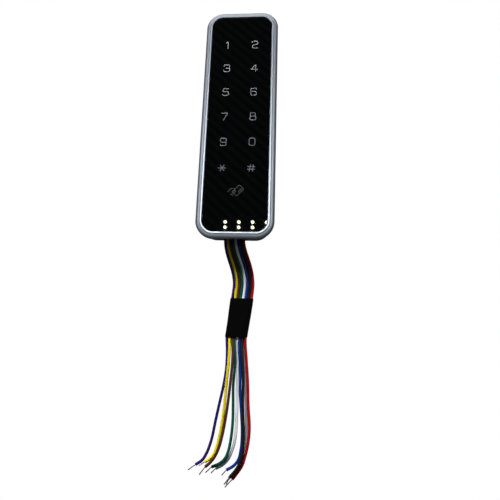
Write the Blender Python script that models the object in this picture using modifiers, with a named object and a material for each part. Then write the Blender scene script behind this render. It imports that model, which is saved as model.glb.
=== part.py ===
"""Slim keypad access reader on its wall bracket, with its nine loose leads.

Metres, +Z up.  The reader faces -Y and hangs on a bracket whose rear face lies
in the plane Y = 0, with the origin at that face's centre.  The leads leave the
bottom of the case, pass through a black sleeve and hang free.
"""
import math

import bmesh
import bpy
from mathutils import Vector

MM = 0.001

# Overall size of the case.
BODY_W = 50.0 * MM
BODY_L = 165.0 * MM
BODY_R = 11.7 * MM
FRONT_Y = -18.0 * MM
BEZEL_BACK_Y = -13.0 * MM

# Frame round the front panel.
EDGE_ROUND = 0.6 * MM
SLOPE_RUN = 3.0 * MM
SLOPE_DROP = 1.1 * MM
LIP = 0.4 * MM
BEZEL_TUCK = 0.4 * MM
PANEL_W = 42.0 * MM
PANEL_L = BODY_L - (BODY_W - PANEL_W)
PANEL_R = 7.7 * MM
LEDGE = 2.0 * MM
LEDGE_Y = -15.6 * MM
FIT = 0.3 * MM

# Rear case: a tapered tray with a floor that parts boards from bracket.
CASE_FRONT_Y = -12.2 * MM
CASE_BACK_Y = -0.4 * MM
CASE_FRONT = (48.4 * MM, 163.4 * MM)
CASE_BACK = (45.2 * MM, 159.8 * MM)
CASE_R = 10.9 * MM
CASE_WALL = 1.9 * MM
FLOOR_FRONT_Y = -5.0 * MM
FLOOR_BACK_Y = -2.2 * MM
POCKET = (38.6 * MM, 150.0 * MM)

# Case screws join the frame's bosses to the case's posts.
CASE_SCREW_X = 18.0 * MM
CASE_SCREW_Z = 73.2 * MM
BOSS_R = 2.3 * MM
PILOT_R = 1.3 * MM
JOINT_Y = -9.0 * MM

# Bracket of 1.6 mm sheet, with two hooks at its top and a lock tab below.
SHEET = 1.6 * MM
BRACKET_W = 36.0 * MM
BRACKET_TOP = 68.8 * MM
BRACKET_BOTTOM = -70.0 * MM
HOOK_X = 11.0 * MM
HOOK_W = 6.0 * MM
HOOK_REACH_Y = -7.1 * MM
HOOK_TIP_Z = 71.5 * MM
FIXING_Z = 41.65 * MM
FIXING_SLOT = (5.2 * MM, 11.0 * MM)
TAB_X = 12.6 * MM
TAB_Z = -65.6 * MM
TAB_REACH_Y = -11.4 * MM
LOCK_Y = -8.6 * MM

# Boards.
TOUCH_BOARD = {"x": 18.4 * MM, "z": 70.4 * MM, "front": -15.0 * MM, "back": -14.0 * MM}
MAIN_FRONT_Y = -10.4 * MM
MAIN_BACK_Y = -8.8 * MM
MAIN_X = 18.0 * MM
MAIN_LOW, MAIN_HIGH = -50.0 * MM, 60.0 * MM
BOARD_SCREWS = ((-14.0 * MM, 54.0 * MM), (14.0 * MM, -44.0 * MM))

# Keys: two columns and six rows, lit from between the columns.
ROW_TOP = 55.9 * MM
ROW_PITCH = 18.35 * MM
ROWS = 6
ICON_Z = -51.4 * MM

# Tamper switch behind the main board.
TAMPER_Z = 30.0 * MM
TAMPER_HALF = 3.5 * MM
TAMPER_MOUTH_Y = -1.2 * MM

# Leads.
WIRE_D = 1.58 * MM
CORE_D = 0.6 * MM
PITCH_TOP = 1.72 * MM
PITCH_LOW = 1.64 * MM
SECOND_LAYER = 1.7 * MM
WIRE_STEP = 3.6 * MM
WIRE_NAMES = ("violet", "yellow", "brown", "green", "white", "blue", "black", "grey", "red")
LANE = {"violet": 0, "yellow": 1, "brown": 2, "green": 3, "white": 4, "blue": 5,
        "black": 6, "grey": 6.55, "red": 7.06}
PLUG_LOW_Z = -46.5 * MM
PLUG_Y = -7.1 * MM

# Middle of the flat bundle in millimetres, from the case to the sleeve's end.
BUNDLE = (
    (0.0, -7.6, -58.0), (0.0, -7.6, -66.0), (-0.2, -7.6, -74.0), (-0.7, -7.6, -80.3),
    (0.1, -7.4, -86.6), (1.9, -7.0, -92.4), (4.0, -6.4, -98.4), (5.5, -5.9, -104.4),
    (6.0, -5.5, -109.9), (5.2, -5.1, -118.3), (3.8, -5.0, -130.2), (2.4, -5.0, -142.1),
)
SLEEVE_TOP, SLEEVE_LOW = 9, 11

# Each lead's own way from the sleeve to the end of its insulation, in
# millimetres, and then the tip of its bare core.
TAILS = {
    "violet": ((-3.3, -4.8, -149.0), (-3.3, -4.6, -160.0), (-4.4, -4.6, -169.5),
               (-6.4, -4.6, -180.0), (-8.4, -4.6, -190.5), (-10.3, -4.6, -201.0),
               (-12.5, -4.5, -208.5), (-15.1, -4.4, -212.6), (-18.6, -4.3, -215.0)),
    "yellow": ((-1.8, -5.6, -149.0), (-2.1, -6.2, -159.0), (-2.8, -6.2, -169.5),
               (-3.6, -6.2, -183.0), (-5.0, -6.2, -195.0), (-7.1, -6.2, -205.0),
               (-9.4, -6.1, -210.3), (-12.9, -6.0, -212.8)),
    "brown": ((0.4, -6.1, -149.0), (0.6, -7.1, -158.5), (-0.1, -7.3, -169.5),
              (-1.5, -7.3, -183.5), (-3.3, -7.3, -196.0), (-5.6, -7.3, -205.4),
              (-8.5, -7.2, -211.4), (-12.4, -7.1, -215.2)),
    "green": ((1.8, -4.9, -149.0), (2.4, -4.8, -159.0), (1.8, -4.8, -170.0),
              (2.1, -4.8, -180.0), (2.3, -4.8, -191.0), (1.5, -4.8, -201.0),
              (-0.3, -4.8, -208.8), (-3.3, -4.7, -213.0), (-9.0, -4.6, -215.8)),
    "white": ((3.2, -3.9, -149.0), (3.3, -3.1, -159.0), (3.2, -3.0, -169.6),
              (3.6, -3.0, -180.0), (3.7, -3.0, -190.5), (3.1, -3.0, -201.0),
              (1.3, -3.0, -208.8), (-1.5, -3.0, -213.5), (-7.0, -3.0, -216.9)),
    "blue": ((4.7, -4.8, -149.0), (5.8, -4.5, -163.0), (6.0, -4.5, -174.0),
             (7.1, -4.5, -185.0), (8.0, -4.5, -196.0), (7.6, -4.5, -206.0),
             (5.4, -4.5, -213.0), (-0.3, -4.4, -217.0)),
    "black": ((6.3, -5.5, -149.0), (7.0, -6.2, -156.0), (7.8, -6.3, -166.0),
              (7.9, -6.3, -177.0), (8.5, -6.3, -187.7), (9.0, -6.3, -198.0),
              (8.5, -6.3, -208.5), (6.2, -6.2, -214.8), (2.0, -6.1, -220.0)),
    "grey": ((7.4, -3.1, -149.0), (8.2, -2.7, -156.0), (9.0, -2.7, -166.0),
             (9.4, -2.7, -177.0), (10.1, -2.7, -187.5), (10.3, -2.7, -198.0),
             (9.5, -2.7, -208.5), (7.0, -2.7, -216.0), (1.0, -2.7, -221.8)),
    "red": ((8.3, -4.8, -149.0), (9.1, -4.6, -157.0), (10.2, -4.6, -169.0),
            (10.9, -4.6, -182.0), (11.9, -4.6, -193.0), (11.5, -4.6, -201.5),
            (10.4, -4.6, -208.0), (8.3, -4.6, -214.6), (3.2, -4.5, -221.7)),
}
TIPS = {
    "violet": (-22.8, -4.2, -218.2), "yellow": (-16.2, -5.9, -215.2),
    "brown": (-15.6, -7.0, -219.5), "green": (-12.4, -4.5, -219.0),
    "white": (-9.5, -3.0, -219.6), "blue": (-3.0, -4.3, -220.0),
    "black": (0.0, -6.0, -224.0), "grey": (-1.6, -2.7, -225.2),
    "red": (-0.9, -4.4, -226.1),
}

# Finishes: colour, roughness, metallic.
FINISHES = {
    "satin_silver": ((0.46, 0.49, 0.53), 0.32, 1.0),
    "smoked_panel": ((0.006, 0.007, 0.009), 0.12, 0.0),
    "case_black": ((0.020, 0.021, 0.023), 0.55, 0.0),
    "zinc_steel": ((0.52, 0.53, 0.55), 0.38, 1.0),
    "screw_steel": ((0.35, 0.35, 0.37), 0.35, 1.0),
    "board_green": ((0.015, 0.120, 0.050), 0.45, 0.0),
    "chip_black": ((0.018, 0.018, 0.020), 0.50, 0.0),
    "led_white": ((0.85, 0.86, 0.82), 0.30, 0.0),
    "diffuser_white": ((0.80, 0.82, 0.84), 0.40, 0.0),
    "foam_black": ((0.030, 0.030, 0.032), 0.85, 0.0),
    "seal_grey": ((0.10, 0.10, 0.11), 0.80, 0.0),
    "coil_copper": ((0.72, 0.32, 0.16), 0.35, 1.0),
    "ferrite_grey": ((0.07, 0.07, 0.08), 0.70, 0.0),
    "connector_cream": ((0.78, 0.74, 0.62), 0.45, 0.0),
    "grommet_rubber": ((0.022, 0.022, 0.024), 0.75, 0.0),
    "sleeve_black": ((0.012, 0.013, 0.015), 0.60, 0.0),
    "tinned_copper": ((0.48, 0.50, 0.54), 0.30, 1.0),
    "plunger_white": ((0.72, 0.72, 0.70), 0.40, 0.0),
    "spring_steel": ((0.50, 0.50, 0.52), 0.25, 1.0),
    "wire_violet": ((0.030, 0.010, 0.140), 0.35, 0.0),
    "wire_yellow": ((0.640, 0.530, 0.005), 0.35, 0.0),
    "wire_brown": ((0.060, 0.018, 0.010), 0.35, 0.0),
    "wire_green": ((0.000, 0.080, 0.055), 0.35, 0.0),
    "wire_white": ((0.800, 0.810, 0.820), 0.35, 0.0),
    "wire_blue": ((0.005, 0.030, 0.220), 0.35, 0.0),
    "wire_black": ((0.010, 0.011, 0.012), 0.35, 0.0),
    "wire_grey": ((0.360, 0.370, 0.380), 0.35, 0.0),
    "wire_red": ((0.300, 0.003, 0.006), 0.35, 0.0),
}


# ------------------------------------------------------------ scene and tools

def clear_scene():
    for obj in list(bpy.data.objects):
        bpy.data.objects.remove(obj, do_unlink=True)


def make_collection(name):
    collection = bpy.data.collections.new(name)
    bpy.context.scene.collection.children.link(collection)
    return collection


def make_material(name):
    colour, roughness, metallic = FINISHES[name]
    material = bpy.data.materials.new(name)
    material.use_nodes = True
    shader = material.node_tree.nodes["Principled BSDF"]
    shader.inputs["Base Color"].default_value = (*colour, 1.0)
    shader.inputs["Roughness"].default_value = roughness
    shader.inputs["Metallic"].default_value = metallic
    return material


clear_scene()
PARTS = make_collection("keypad_reader")
CUTTERS = make_collection("cutters")
MATERIALS = {name: make_material(name) for name in FINISHES}


def add_object(name, data, finish):
    """Links an object as a part, or as a cutter when it has no finish."""
    obj = bpy.data.objects.new(name, data)
    if finish is None:
        CUTTERS.objects.link(obj)
        obj.hide_render = True
        obj.display_type = "WIRE"
    else:
        PARTS.objects.link(obj)
        data.materials.append(MATERIALS[finish])
    return obj


def mesh_object(name, bm, finish):
    mesh = bpy.data.meshes.new(name)
    bm.to_mesh(mesh)
    bm.free()
    mesh.shade_smooth()
    mesh.set_sharp_from_angle(angle=math.radians(32.0))
    return add_object(name, mesh, finish)


def box_bmesh(x, y, z):
    """A box between the (low, high) pairs x, y and z."""
    bm = bmesh.new()
    bmesh.ops.create_cube(bm, size=1.0)
    for vert in bm.verts:
        for axis, (low, high) in enumerate((x, y, z)):
            vert.co[axis] = low + (vert.co[axis] + 0.5) * (high - low)
    return bm


def edges_along(bm, axis):
    found = []
    for edge in bm.edges:
        run = edge.verts[1].co - edge.verts[0].co
        if abs(run[axis]) > 0.99 * run.length:
            found.append(edge)
    return found


def block(name, x, y, z, finish=None, radius=0.0, axis=1, steps=3):
    """A box whose edges along one axis are rounded to a radius."""
    bm = box_bmesh(x, y, z)
    if radius:
        bmesh.ops.bevel(bm, geom=edges_along(bm, axis), offset=radius, segments=steps,
                        affect="EDGES", profile=0.5)
    return mesh_object(name, bm, finish)


def half(size):
    """The (low, high) pair of a size centred on zero."""
    return (-size / 2.0, size / 2.0)


def around(centre, half_size):
    return (centre - half_size, centre + half_size)


def plate(name, width, length, y, finish=None, radius=0.0, steps=3):
    """A rounded plate in the XZ plane, centred on the Y axis."""
    return block(name, half(width), y, half(length), finish, radius, 1, steps)


def rod(name, radius, y, x=0.0, z=0.0, finish=None, sides=16):
    """A cylinder along Y."""
    bm = bmesh.new()
    low, high = y
    bmesh.ops.create_cone(bm, cap_ends=True, segments=sides, radius1=radius,
                          radius2=radius, depth=high - low)
    for vert in bm.verts:
        across, up, along = vert.co
        vert.co = Vector((x + across, (low + high) / 2.0 + along, z - up))
    return mesh_object(name, bm, finish)


def upright(name, radius, z, x, y, finish=None, sides=16):
    """A cylinder along Z."""
    bm = bmesh.new()
    low, high = z
    bmesh.ops.create_cone(bm, cap_ends=True, segments=sides, radius1=radius,
                          radius2=radius, depth=high - low)
    bmesh.ops.translate(bm, verts=bm.verts, vec=(x, y, (low + high) / 2.0))
    return mesh_object(name, bm, finish)


def boolean(target, other, operation):
    modifier = target.modifiers.new(f"{operation}_{other.name}", "BOOLEAN")
    modifier.operation = operation
    modifier.solver = "EXACT"
    modifier.object = other


def cut(target, *others):
    for other in others:
        boolean(target, other, "DIFFERENCE")


def join(target, *others):
    for other in others:
        boolean(target, other, "UNION")


def turned(name, profile, place, toward, finish, steps=14):
    """A turned piece: (radius, height) pairs from its top down, spun about Z.

    Its top faces the given direction.
    """
    mesh = bpy.data.meshes.new(name)
    points = [(radius, 0.0, height) for radius, height in profile]
    mesh.from_pydata(points, [(i, i + 1) for i in range(len(points) - 1)], [])
    obj = add_object(name, mesh, finish)
    obj.location = place
    obj.rotation_euler = Vector(toward).to_track_quat("Z", "Y").to_euler()
    screw = obj.modifiers.new("turn", "SCREW")
    screw.axis = "Z"
    screw.steps = steps
    screw.render_steps = steps
    screw.use_merge_vertices = True
    screw.merge_threshold = 0.00001
    return obj


def screw_piece(name, head_r, head_h, shank_r, shank_l, place, toward):
    """A cheese-head screw whose head's underside is at its place."""
    rim = 0.25 * MM
    profile = ((0.0, head_h), (head_r - rim, head_h), (head_r, head_h - rim), (head_r, 0.0),
               (shank_r, 0.0), (shank_r, rim - shank_l), (shank_r - rim, -shank_l),
               (0.0, -shank_l))
    return turned(name, profile, place, toward, "screw_steel")


# ----------------------------------------------------------------- bracket

def hook_piece(side):
    """An arm out of the bracket's top with its end turned up."""
    tip_y = HOOK_REACH_Y + 1.5 * MM
    bm = box_bmesh(around(side * HOOK_X, HOOK_W / 2.0), (HOOK_REACH_Y, -SHEET / 2.0),
                   (BRACKET_TOP - SHEET, BRACKET_TOP - 0.1 * MM))
    bmesh.ops.bisect_plane(bm, geom=bm.verts[:] + bm.edges[:] + bm.faces[:],
                           plane_co=(0.0, tip_y, 0.0), plane_no=(0.0, 1.0, 0.0))
    bm.normal_update()
    end = [face for face in bm.faces
           if face.normal.z > 0.9 and face.calc_center_median().y < tip_y]
    for face in bmesh.ops.extrude_discrete_faces(bm, faces=end)["faces"]:
        bmesh.ops.translate(bm, verts=face.verts, vec=(0.0, 0.0, HOOK_TIP_Z - BRACKET_TOP))
    return mesh_object(f"hook_{side}", bm, None)


def build_wall_bracket():
    bracket = block("wall_bracket", half(BRACKET_W), (-SHEET, 0.0),
                    (BRACKET_BOTTOM, BRACKET_TOP), "zinc_steel", 4.0 * MM)
    for side in (-1, 1):
        join(bracket, hook_piece(side))
    tab = block("lock_tab", around(TAB_X, 3.2 * MM), (TAB_REACH_Y, -SHEET / 2.0),
                around(TAB_Z, SHEET / 2.0))
    cut(tab, block("lock_slot", around(TAB_X, 1.9 * MM), (TAB_REACH_Y - 4.0 * MM, LOCK_Y + 1.9 * MM),
                   around(TAB_Z, SHEET), None, 1.8 * MM, 2))
    join(bracket, tab)
    width, length = FIXING_SLOT
    for label, z in (("upper", FIXING_Z), ("lower", -FIXING_Z)):
        cut(bracket, block(f"{label}_fixing_slot", half(width), (-2.0 * SHEET, SHEET),
                           around(z, length / 2.0), None, width * 0.49, 1, 4))
    cut(bracket, rod("tamper_window", 5.2 * MM, (-2.0 * SHEET, SHEET), 0.0, TAMPER_Z))


# -------------------------------------------------------------- front frame

def build_bezel_frame():
    """The frame: rounded outer edge, sloped face, raised lip, inner ledge."""
    side_front = FRONT_Y + EDGE_ROUND + SLOPE_DROP
    bm = box_bmesh(half(BODY_W), (side_front, BEZEL_BACK_Y), half(BODY_L))
    bmesh.ops.bevel(bm, geom=edges_along(bm, 1), offset=BODY_R, segments=7,
                    affect="EDGES", profile=0.5)
    bm.normal_update()
    front = [face for face in bm.faces if face.normal.y < -0.9]
    for run, rise in ((EDGE_ROUND, EDGE_ROUND), (SLOPE_RUN, SLOPE_DROP)):
        bmesh.ops.inset_region(bm, faces=front, use_even_offset=True, thickness=run, depth=rise)
    tuck = 1.0 - 2.0 * BEZEL_TUCK / BODY_W
    tuck_long = 1.0 - 2.0 * BEZEL_TUCK / BODY_L
    bmesh.ops.bisect_plane(bm, geom=bm.verts[:] + bm.edges[:] + bm.faces[:],
                           plane_co=(0.0, BEZEL_BACK_Y - 1.6 * MM, 0.0),
                           plane_no=(0.0, 1.0, 0.0))
    for vert in bm.verts:
        if vert.co.y > BEZEL_BACK_Y - 0.1 * MM:
            vert.co.x *= tuck
            vert.co.z *= tuck_long
    frame = mesh_object("bezel_frame", bm, "satin_silver")
    ledge_w, ledge_l = PANEL_W - 2.0 * LEDGE, PANEL_L - 2.0 * LEDGE
    cut(frame,
        plate("panel_pocket", PANEL_W, PANEL_L, (FRONT_Y - MM, LEDGE_Y), None, PANEL_R, 6),
        plate("window", ledge_w, ledge_l, (LEDGE_Y - MM, BEZEL_BACK_Y + MM), None,
              PANEL_R - LEDGE, 4))
    for label, x, z in case_screw_places():
        join(frame, rod(f"boss_{label}", BOSS_R, (-15.2 * MM, JOINT_Y - FIT), x, z))
    for label, x, z in case_screw_places():
        cut(frame, rod(f"boss_pilot_{label}", PILOT_R, (-14.2 * MM, JOINT_Y + MM), x, z,
                       sides=12))


def case_screw_places():
    """Names and places of the four case screws."""
    return [(f"{'upper' if z > 0 else 'lower'}_{'right' if x > 0 else 'left'}",
             x * CASE_SCREW_X, z * CASE_SCREW_Z) for z in (1, -1) for x in (-1, 1)]


def build_front_panel():
    plate("front_panel", PANEL_W - 2.0 * FIT, PANEL_L - 2.0 * FIT,
          (FRONT_Y + 0.4 * MM, FRONT_Y + 1.6 * MM), "smoked_panel", PANEL_R - FIT, 6)


def build_panel_gasket():
    gasket = plate("panel_gasket", PANEL_W - 1.0 * MM, PANEL_L - 1.0 * MM,
                   (-16.15 * MM, -15.85 * MM), "foam_black", PANEL_R - 0.5 * MM)
    cut(gasket, plate("gasket_window", PANEL_W - 3.4 * MM, PANEL_L - 3.4 * MM,
                      (-17.0 * MM, -15.0 * MM), None, PANEL_R - 1.7 * MM))


# ---------------------------------------------------------------- rear case

def tapered(name, front, back, y, finish, radius, steps):
    """A rounded block that narrows from its front size to its back size."""
    bm = box_bmesh(half(front[0]), y, half(front[1]))
    bmesh.ops.bevel(bm, geom=edges_along(bm, 1), offset=radius, segments=steps,
                    affect="EDGES", profile=0.5)
    middle = sum(y) / 2.0
    for vert in bm.verts:
        if vert.co.y > middle:
            vert.co.x *= back[0] / front[0]
            vert.co.z *= back[1] / front[1]
    return mesh_object(name, bm, finish)


def build_rear_housing():
    case = tapered("rear_housing", CASE_FRONT, CASE_BACK, (CASE_FRONT_Y, CASE_BACK_Y),
                   "case_black", CASE_R, 6)
    inner = [size - 2.0 * CASE_WALL for size in CASE_FRONT]
    inner_back = [size - 1.6 * MM for size in inner]
    cut(case,
        tapered("board_space", inner, inner_back, (CASE_FRONT_Y - MM, FLOOR_FRONT_Y), None,
                CASE_R - CASE_WALL, 5),
        plate("bracket_pocket", *POCKET, (FLOOR_BACK_Y, MM), None, 5.0 * MM))
    floor = (FLOOR_FRONT_Y - MM, FLOOR_BACK_Y + MM)
    for label, x, z in case_screw_places():
        join(case, rod(f"post_{label}", BOSS_R, (JOINT_Y, FLOOR_FRONT_Y + MM), x, z))
    for index, (x, z) in enumerate(BOARD_SCREWS):
        join(case, rod(f"board_post_{index}", 2.5 * MM, (MAIN_BACK_Y + FIT, FLOOR_FRONT_Y + MM),
                       x, z))
    join(case, upright("lock_boss", 3.4 * MM, (-79.7 * MM, -76.0 * MM), TAB_X, LOCK_Y))
    for label, x, z in case_screw_places():
        cut(case,
            rod(f"post_bore_{label}", PILOT_R, (JOINT_Y - MM, MM), x, z, sides=12),
            rod(f"head_seat_{label}", BOSS_R, (-3.8 * MM, MM), x, z))
    for index, (x, z) in enumerate(BOARD_SCREWS):
        cut(case, rod(f"board_pilot_{index}", PILOT_R, (MAIN_BACK_Y - MM, -5.3 * MM), x, z,
                      sides=12))
    for side in (-1, 1):
        cut(case, block(f"hook_slot_{side}", around(side * HOOK_X, HOOK_W / 2.0 + 0.6 * MM),
                        floor, (BRACKET_TOP - 4.4 * MM, BRACKET_TOP + FIT)))
        cut(case, rod(f"clamp_pilot_{side}", PILOT_R, (-6.0 * MM, -2.9 * MM),
                      side * 10.2 * MM, -57.5 * MM, sides=12))
    for label, z in (("upper", FIXING_Z), ("lower", -FIXING_Z)):
        cut(case, rod(f"{label}_fixing_recess", 6.2 * MM, (-4.1 * MM, 0.0), 0.0, z, sides=20))
    cut(case,
        block("tab_slot", around(TAB_X, 3.9 * MM), floor, (-68.2 * MM, -62.8 * MM)),
        block("tamper_hole", half(7.8 * MM), floor, around(TAMPER_Z, 3.9 * MM)),
        upright("lock_bore", 1.8 * MM, (-82.0 * MM, -75.0 * MM), TAB_X, LOCK_Y),
        upright("lock_head_seat", 3.0 * MM, (-83.0 * MM, -78.6 * MM), TAB_X, LOCK_Y),
        block("lead_mouth", half(16.9 * MM), (-10.1 * MM, -4.1 * MM), (-84.0 * MM, -76.5 * MM),
              None, 2.0 * MM, 2))


def build_housing_seal():
    width, length = CASE_FRONT
    seal = plate("housing_seal", width - 0.6 * MM, length - 0.6 * MM,
                 (-12.75 * MM, -12.45 * MM), "seal_grey", CASE_R - FIT)
    cut(seal, plate("seal_window", width - 3.4 * MM, length - 3.4 * MM,
                    (-13.5 * MM, -11.5 * MM), None, CASE_R - 1.7 * MM))


def build_case_screws():
    for label, x, z in case_screw_places():
        screw_piece(f"case_screw_{label}", 2.0 * MM, 1.2 * MM, 1.0 * MM, 10.1 * MM,
                    (x, -3.5 * MM, z), (0, 1, 0))


def build_lock_screw():
    screw_piece("lock_screw", 2.7 * MM, 1.4 * MM, 1.5 * MM, 16.4 * MM,
                (TAB_X, LOCK_Y, -78.9 * MM), (0, 0, -1))


# ------------------------------------------------------- boards and their parts

def row_places():
    return [(f"row_led_{row + 1}", ROW_TOP - row * ROW_PITCH) for row in range(ROWS)]


def build_light_guide():
    x, z = TOUCH_BOARD["x"], TOUCH_BOARD["z"]
    guide = plate("light_guide", 2.0 * x, 2.0 * z, (-16.1 * MM, -15.3 * MM),
                  "diffuser_white", 3.0 * MM)
    for name, height in row_places() + [("icon_led", ICON_Z)]:
        cut(guide, block(f"{name}_pocket", half(2.6 * MM), (-17.0 * MM, -15.0 * MM),
                         around(height, 1.0 * MM)))


def build_touch_board():
    board = TOUCH_BOARD
    plate("touch_board", 2.0 * board["x"], 2.0 * board["z"], (board["front"], board["back"]),
          "board_green", 3.0 * MM)
    for name, height in row_places() + [("icon_led", ICON_Z)]:
        block(name, half(1.6 * MM), (-15.9 * MM, board["front"] - FIT),
              around(height, 0.5 * MM), "led_white")
    back = board["back"] + FIT
    block("touch_controller", around(9.0 * MM, 3.5 * MM), (back, back + 0.9 * MM),
          around(20.0 * MM, 3.5 * MM), "chip_black")
    block("board_header", half(16.0 * MM), (back, -12.4 * MM), around(0.0, 1.6 * MM),
          "connector_cream")


def build_main_board():
    board = block("main_board", half(2.0 * MAIN_X), (MAIN_FRONT_Y, MAIN_BACK_Y),
                  (MAIN_LOW, MAIN_HIGH), "board_green", 2.0 * MM)
    front = MAIN_FRONT_Y - FIT
    for index, (x, z) in enumerate(BOARD_SCREWS):
        cut(board, rod(f"board_hole_{index}", PILOT_R, (MAIN_FRONT_Y - MM, MAIN_BACK_Y + MM),
                       x, z, sides=12))
        screw_piece(f"board_screw_{index + 1}", 2.0 * MM, 1.0 * MM, 1.0 * MM, 5.0 * MM,
                    (x, front, z), (0, -1, 0))
    block("board_socket", half(16.0 * MM), (-12.1 * MM, front), around(0.0, 1.6 * MM),
          "connector_cream")
    block("processor_chip", around(-5.0 * MM, 5.0 * MM), (front - 1.0 * MM, front),
          around(20.0 * MM, 5.0 * MM), "chip_black")
    block("reader_chip", around(5.0 * MM, 3.0 * MM), (front - 0.9 * MM, front),
          around(-18.0 * MM, 3.0 * MM), "chip_black")
    block("wire_header", half(17.2 * MM), (MAIN_BACK_Y + FIT, -5.6 * MM),
          (-40.0 * MM, -34.0 * MM), "connector_cream")
    block("wire_plug", half(16.6 * MM), (MAIN_BACK_Y + FIT, -5.5 * MM),
          (PLUG_LOW_Z, -40.3 * MM), "connector_cream", 0.4 * MM, 2, 1)


def build_buzzer():
    radius, hole, height, chamfer = 6.0 * MM, 1.0 * MM, 2.6 * MM, 0.4 * MM
    profile = ((0.0, height - chamfer), (hole, height - chamfer), (hole, height),
               (radius - chamfer, height), (radius, height - chamfer), (radius, 0.0),
               (0.0, 0.0))
    turned("buzzer", profile, (4.0 * MM, MAIN_FRONT_Y - FIT, 44.0 * MM), (0, -1, 0),
           "chip_black", 20)


def build_reader_coil():
    """Card coil and the ferrite sheet that screens it from the main board."""
    low, high = -68.0 * MM, -28.0 * MM
    coil = block("antenna_coil", half(32.0 * MM), (-13.7 * MM, -12.9 * MM), (low, high),
                 "coil_copper", 4.0 * MM)
    cut(coil, block("coil_window", half(26.0 * MM), (-14.5 * MM, -12.0 * MM),
                    (low + 3.0 * MM, high - 3.0 * MM), None, 2.0 * MM))
    block("ferrite_sheet", half(31.0 * MM), (-12.6 * MM, -12.1 * MM),
          (low + 0.5 * MM, high - 0.5 * MM), "ferrite_grey", 2.0 * MM)


# ------------------------------------------------------------ tamper switch

def build_tamper_switch():
    body = block("tamper_switch", half(2.0 * TAMPER_HALF), (MAIN_BACK_Y + FIT, TAMPER_MOUTH_Y),
                 around(TAMPER_Z, TAMPER_HALF), "chip_black", 0.8 * MM, 1, 2)
    cut(body,
        rod("tamper_bore", 2.6 * MM, (-7.9 * MM, TAMPER_MOUTH_Y - 0.6 * MM), 0.0, TAMPER_Z),
        rod("tamper_mouth", 1.6 * MM, (-3.0 * MM, MM), 0.0, TAMPER_Z))
    flange, pin, thick = 2.3 * MM, 1.25 * MM, 0.6 * MM
    length = 3.8 * MM
    profile = ((0.0, 0.0), (pin - 0.2 * MM, 0.0), (pin, -0.2 * MM), (pin, -length),
               (flange, -length), (flange, -length - thick), (0.0, -length - thick))
    turned("tamper_plunger", profile, (0.0, 0.0, TAMPER_Z), (0, 1, 0), "plunger_white")
    turns, per_turn, radius = 4, 10, 1.6 * MM
    low, high = -7.6 * MM, -4.9 * MM
    points = []
    for index in range(turns * per_turn + 1):
        angle = 2.0 * math.pi * index / per_turn
        y = low + (high - low) * index / (turns * per_turn)
        points.append(Vector((radius * math.cos(angle), y, TAMPER_Z + radius * math.sin(angle))))
    tube("tamper_spring", points, 0.2 * MM, "spring_steel", 1)


# -------------------------------------------------------------------- leads

def tube(name, points, radius, finish, resolution=2):
    curve = bpy.data.curves.new(name, "CURVE")
    curve.dimensions = "3D"
    curve.bevel_depth = radius
    curve.bevel_resolution = resolution
    curve.use_fill_caps = True
    curve.render_resolution_u = 0
    spline = curve.splines.new("POLY")
    spline.points.add(len(points) - 1)
    for point, place in zip(spline.points, points):
        point.co = (*place, 1.0)
    return add_object(name, curve, finish)


def smooth_points(route, step):
    """Evenly spaced points on a smooth curve through the route's points."""
    fine = []
    last = len(route) - 1
    for index in range(last):
        a = route[max(index - 1, 0)]
        b, c = route[index], route[index + 1]
        d = route[min(index + 2, last)]
        span = (c - b).length
        leave = (c - a) * (span / (c - a).length)
        arrive = (d - b) * (span / (d - b).length)
        for part in range(16):
            t = part / 16.0
            fine.append(b * (2 * t ** 3 - 3 * t ** 2 + 1) + leave * (t ** 3 - 2 * t ** 2 + t)
                        + c * (3 * t ** 2 - 2 * t ** 3) + arrive * (t ** 3 - t ** 2))
    fine.append(route[last])
    reach = [0.0]
    for before, after in zip(fine, fine[1:]):
        reach.append(reach[-1] + (after - before).length)
    count = max(2, round(reach[-1] / step))
    points, at = [], 0
    for index in range(count + 1):
        goal = reach[-1] * index / count
        while at < len(fine) - 2 and reach[at + 1] < goal:
            at += 1
        share = (goal - reach[at]) / (reach[at + 1] - reach[at])
        points.append(fine[at].lerp(fine[at + 1], min(1.0, share)))
    return points


def bundle_pitch(index):
    """Space between leads: even down to the sleeve, then a little closer."""
    share = max(0.0, (index - SLEEVE_TOP) / (SLEEVE_LOW - SLEEVE_TOP))
    return PITCH_TOP + (PITCH_LOW - PITCH_TOP) * share


def bundle_point(index, name):
    """A lead's place in the flat bundle at one of the bundle's points."""
    here = Vector(BUNDLE[index]) * MM
    before = Vector(BUNDLE[max(index - 1, 0)])
    after = Vector(BUNDLE[min(index + 1, len(BUNDLE) - 1)])
    run = after - before
    across = Vector((-run.z, 0.0, run.x)).normalized()
    back = Vector((0.0, SECOND_LAYER if name == "grey" else 0.0, 0.0))
    return here + across * (LANE[name] - 3.5) * bundle_pitch(index) + back


def lead_route(name):
    """From the plug's mouth, through the case and the sleeve, to the bared end."""
    pin_x = (WIRE_NAMES.index(name) - 4) * PITCH_TOP
    first = bundle_point(0, name)
    route = [Vector((pin_x, PLUG_Y, PLUG_LOW_Z - FIT)), Vector((pin_x, PLUG_Y, -48.4 * MM)),
             Vector((pin_x, first.y, -52.0 * MM))]
    route += [bundle_point(index, name) for index in range(len(BUNDLE))]
    route += [Vector(point) * MM for point in TAILS[name]]
    return route


def build_leads():
    for name in WIRE_NAMES:
        route = lead_route(name)
        tube(f"wire_{name}", smooth_points(route, WIRE_STEP), WIRE_D / 2.0, f"wire_{name}")
        tip = Vector(TIPS[name]) * MM
        away = (tip - route[-1]).normalized()
        start = route[-1] + away * FIT
        bend = start.lerp(tip, 0.5) + Vector((0.0, 0.0, 0.12 * MM))
        tube(f"core_{name}", [start, bend, tip], CORE_D / 2.0, "tinned_copper")


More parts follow.
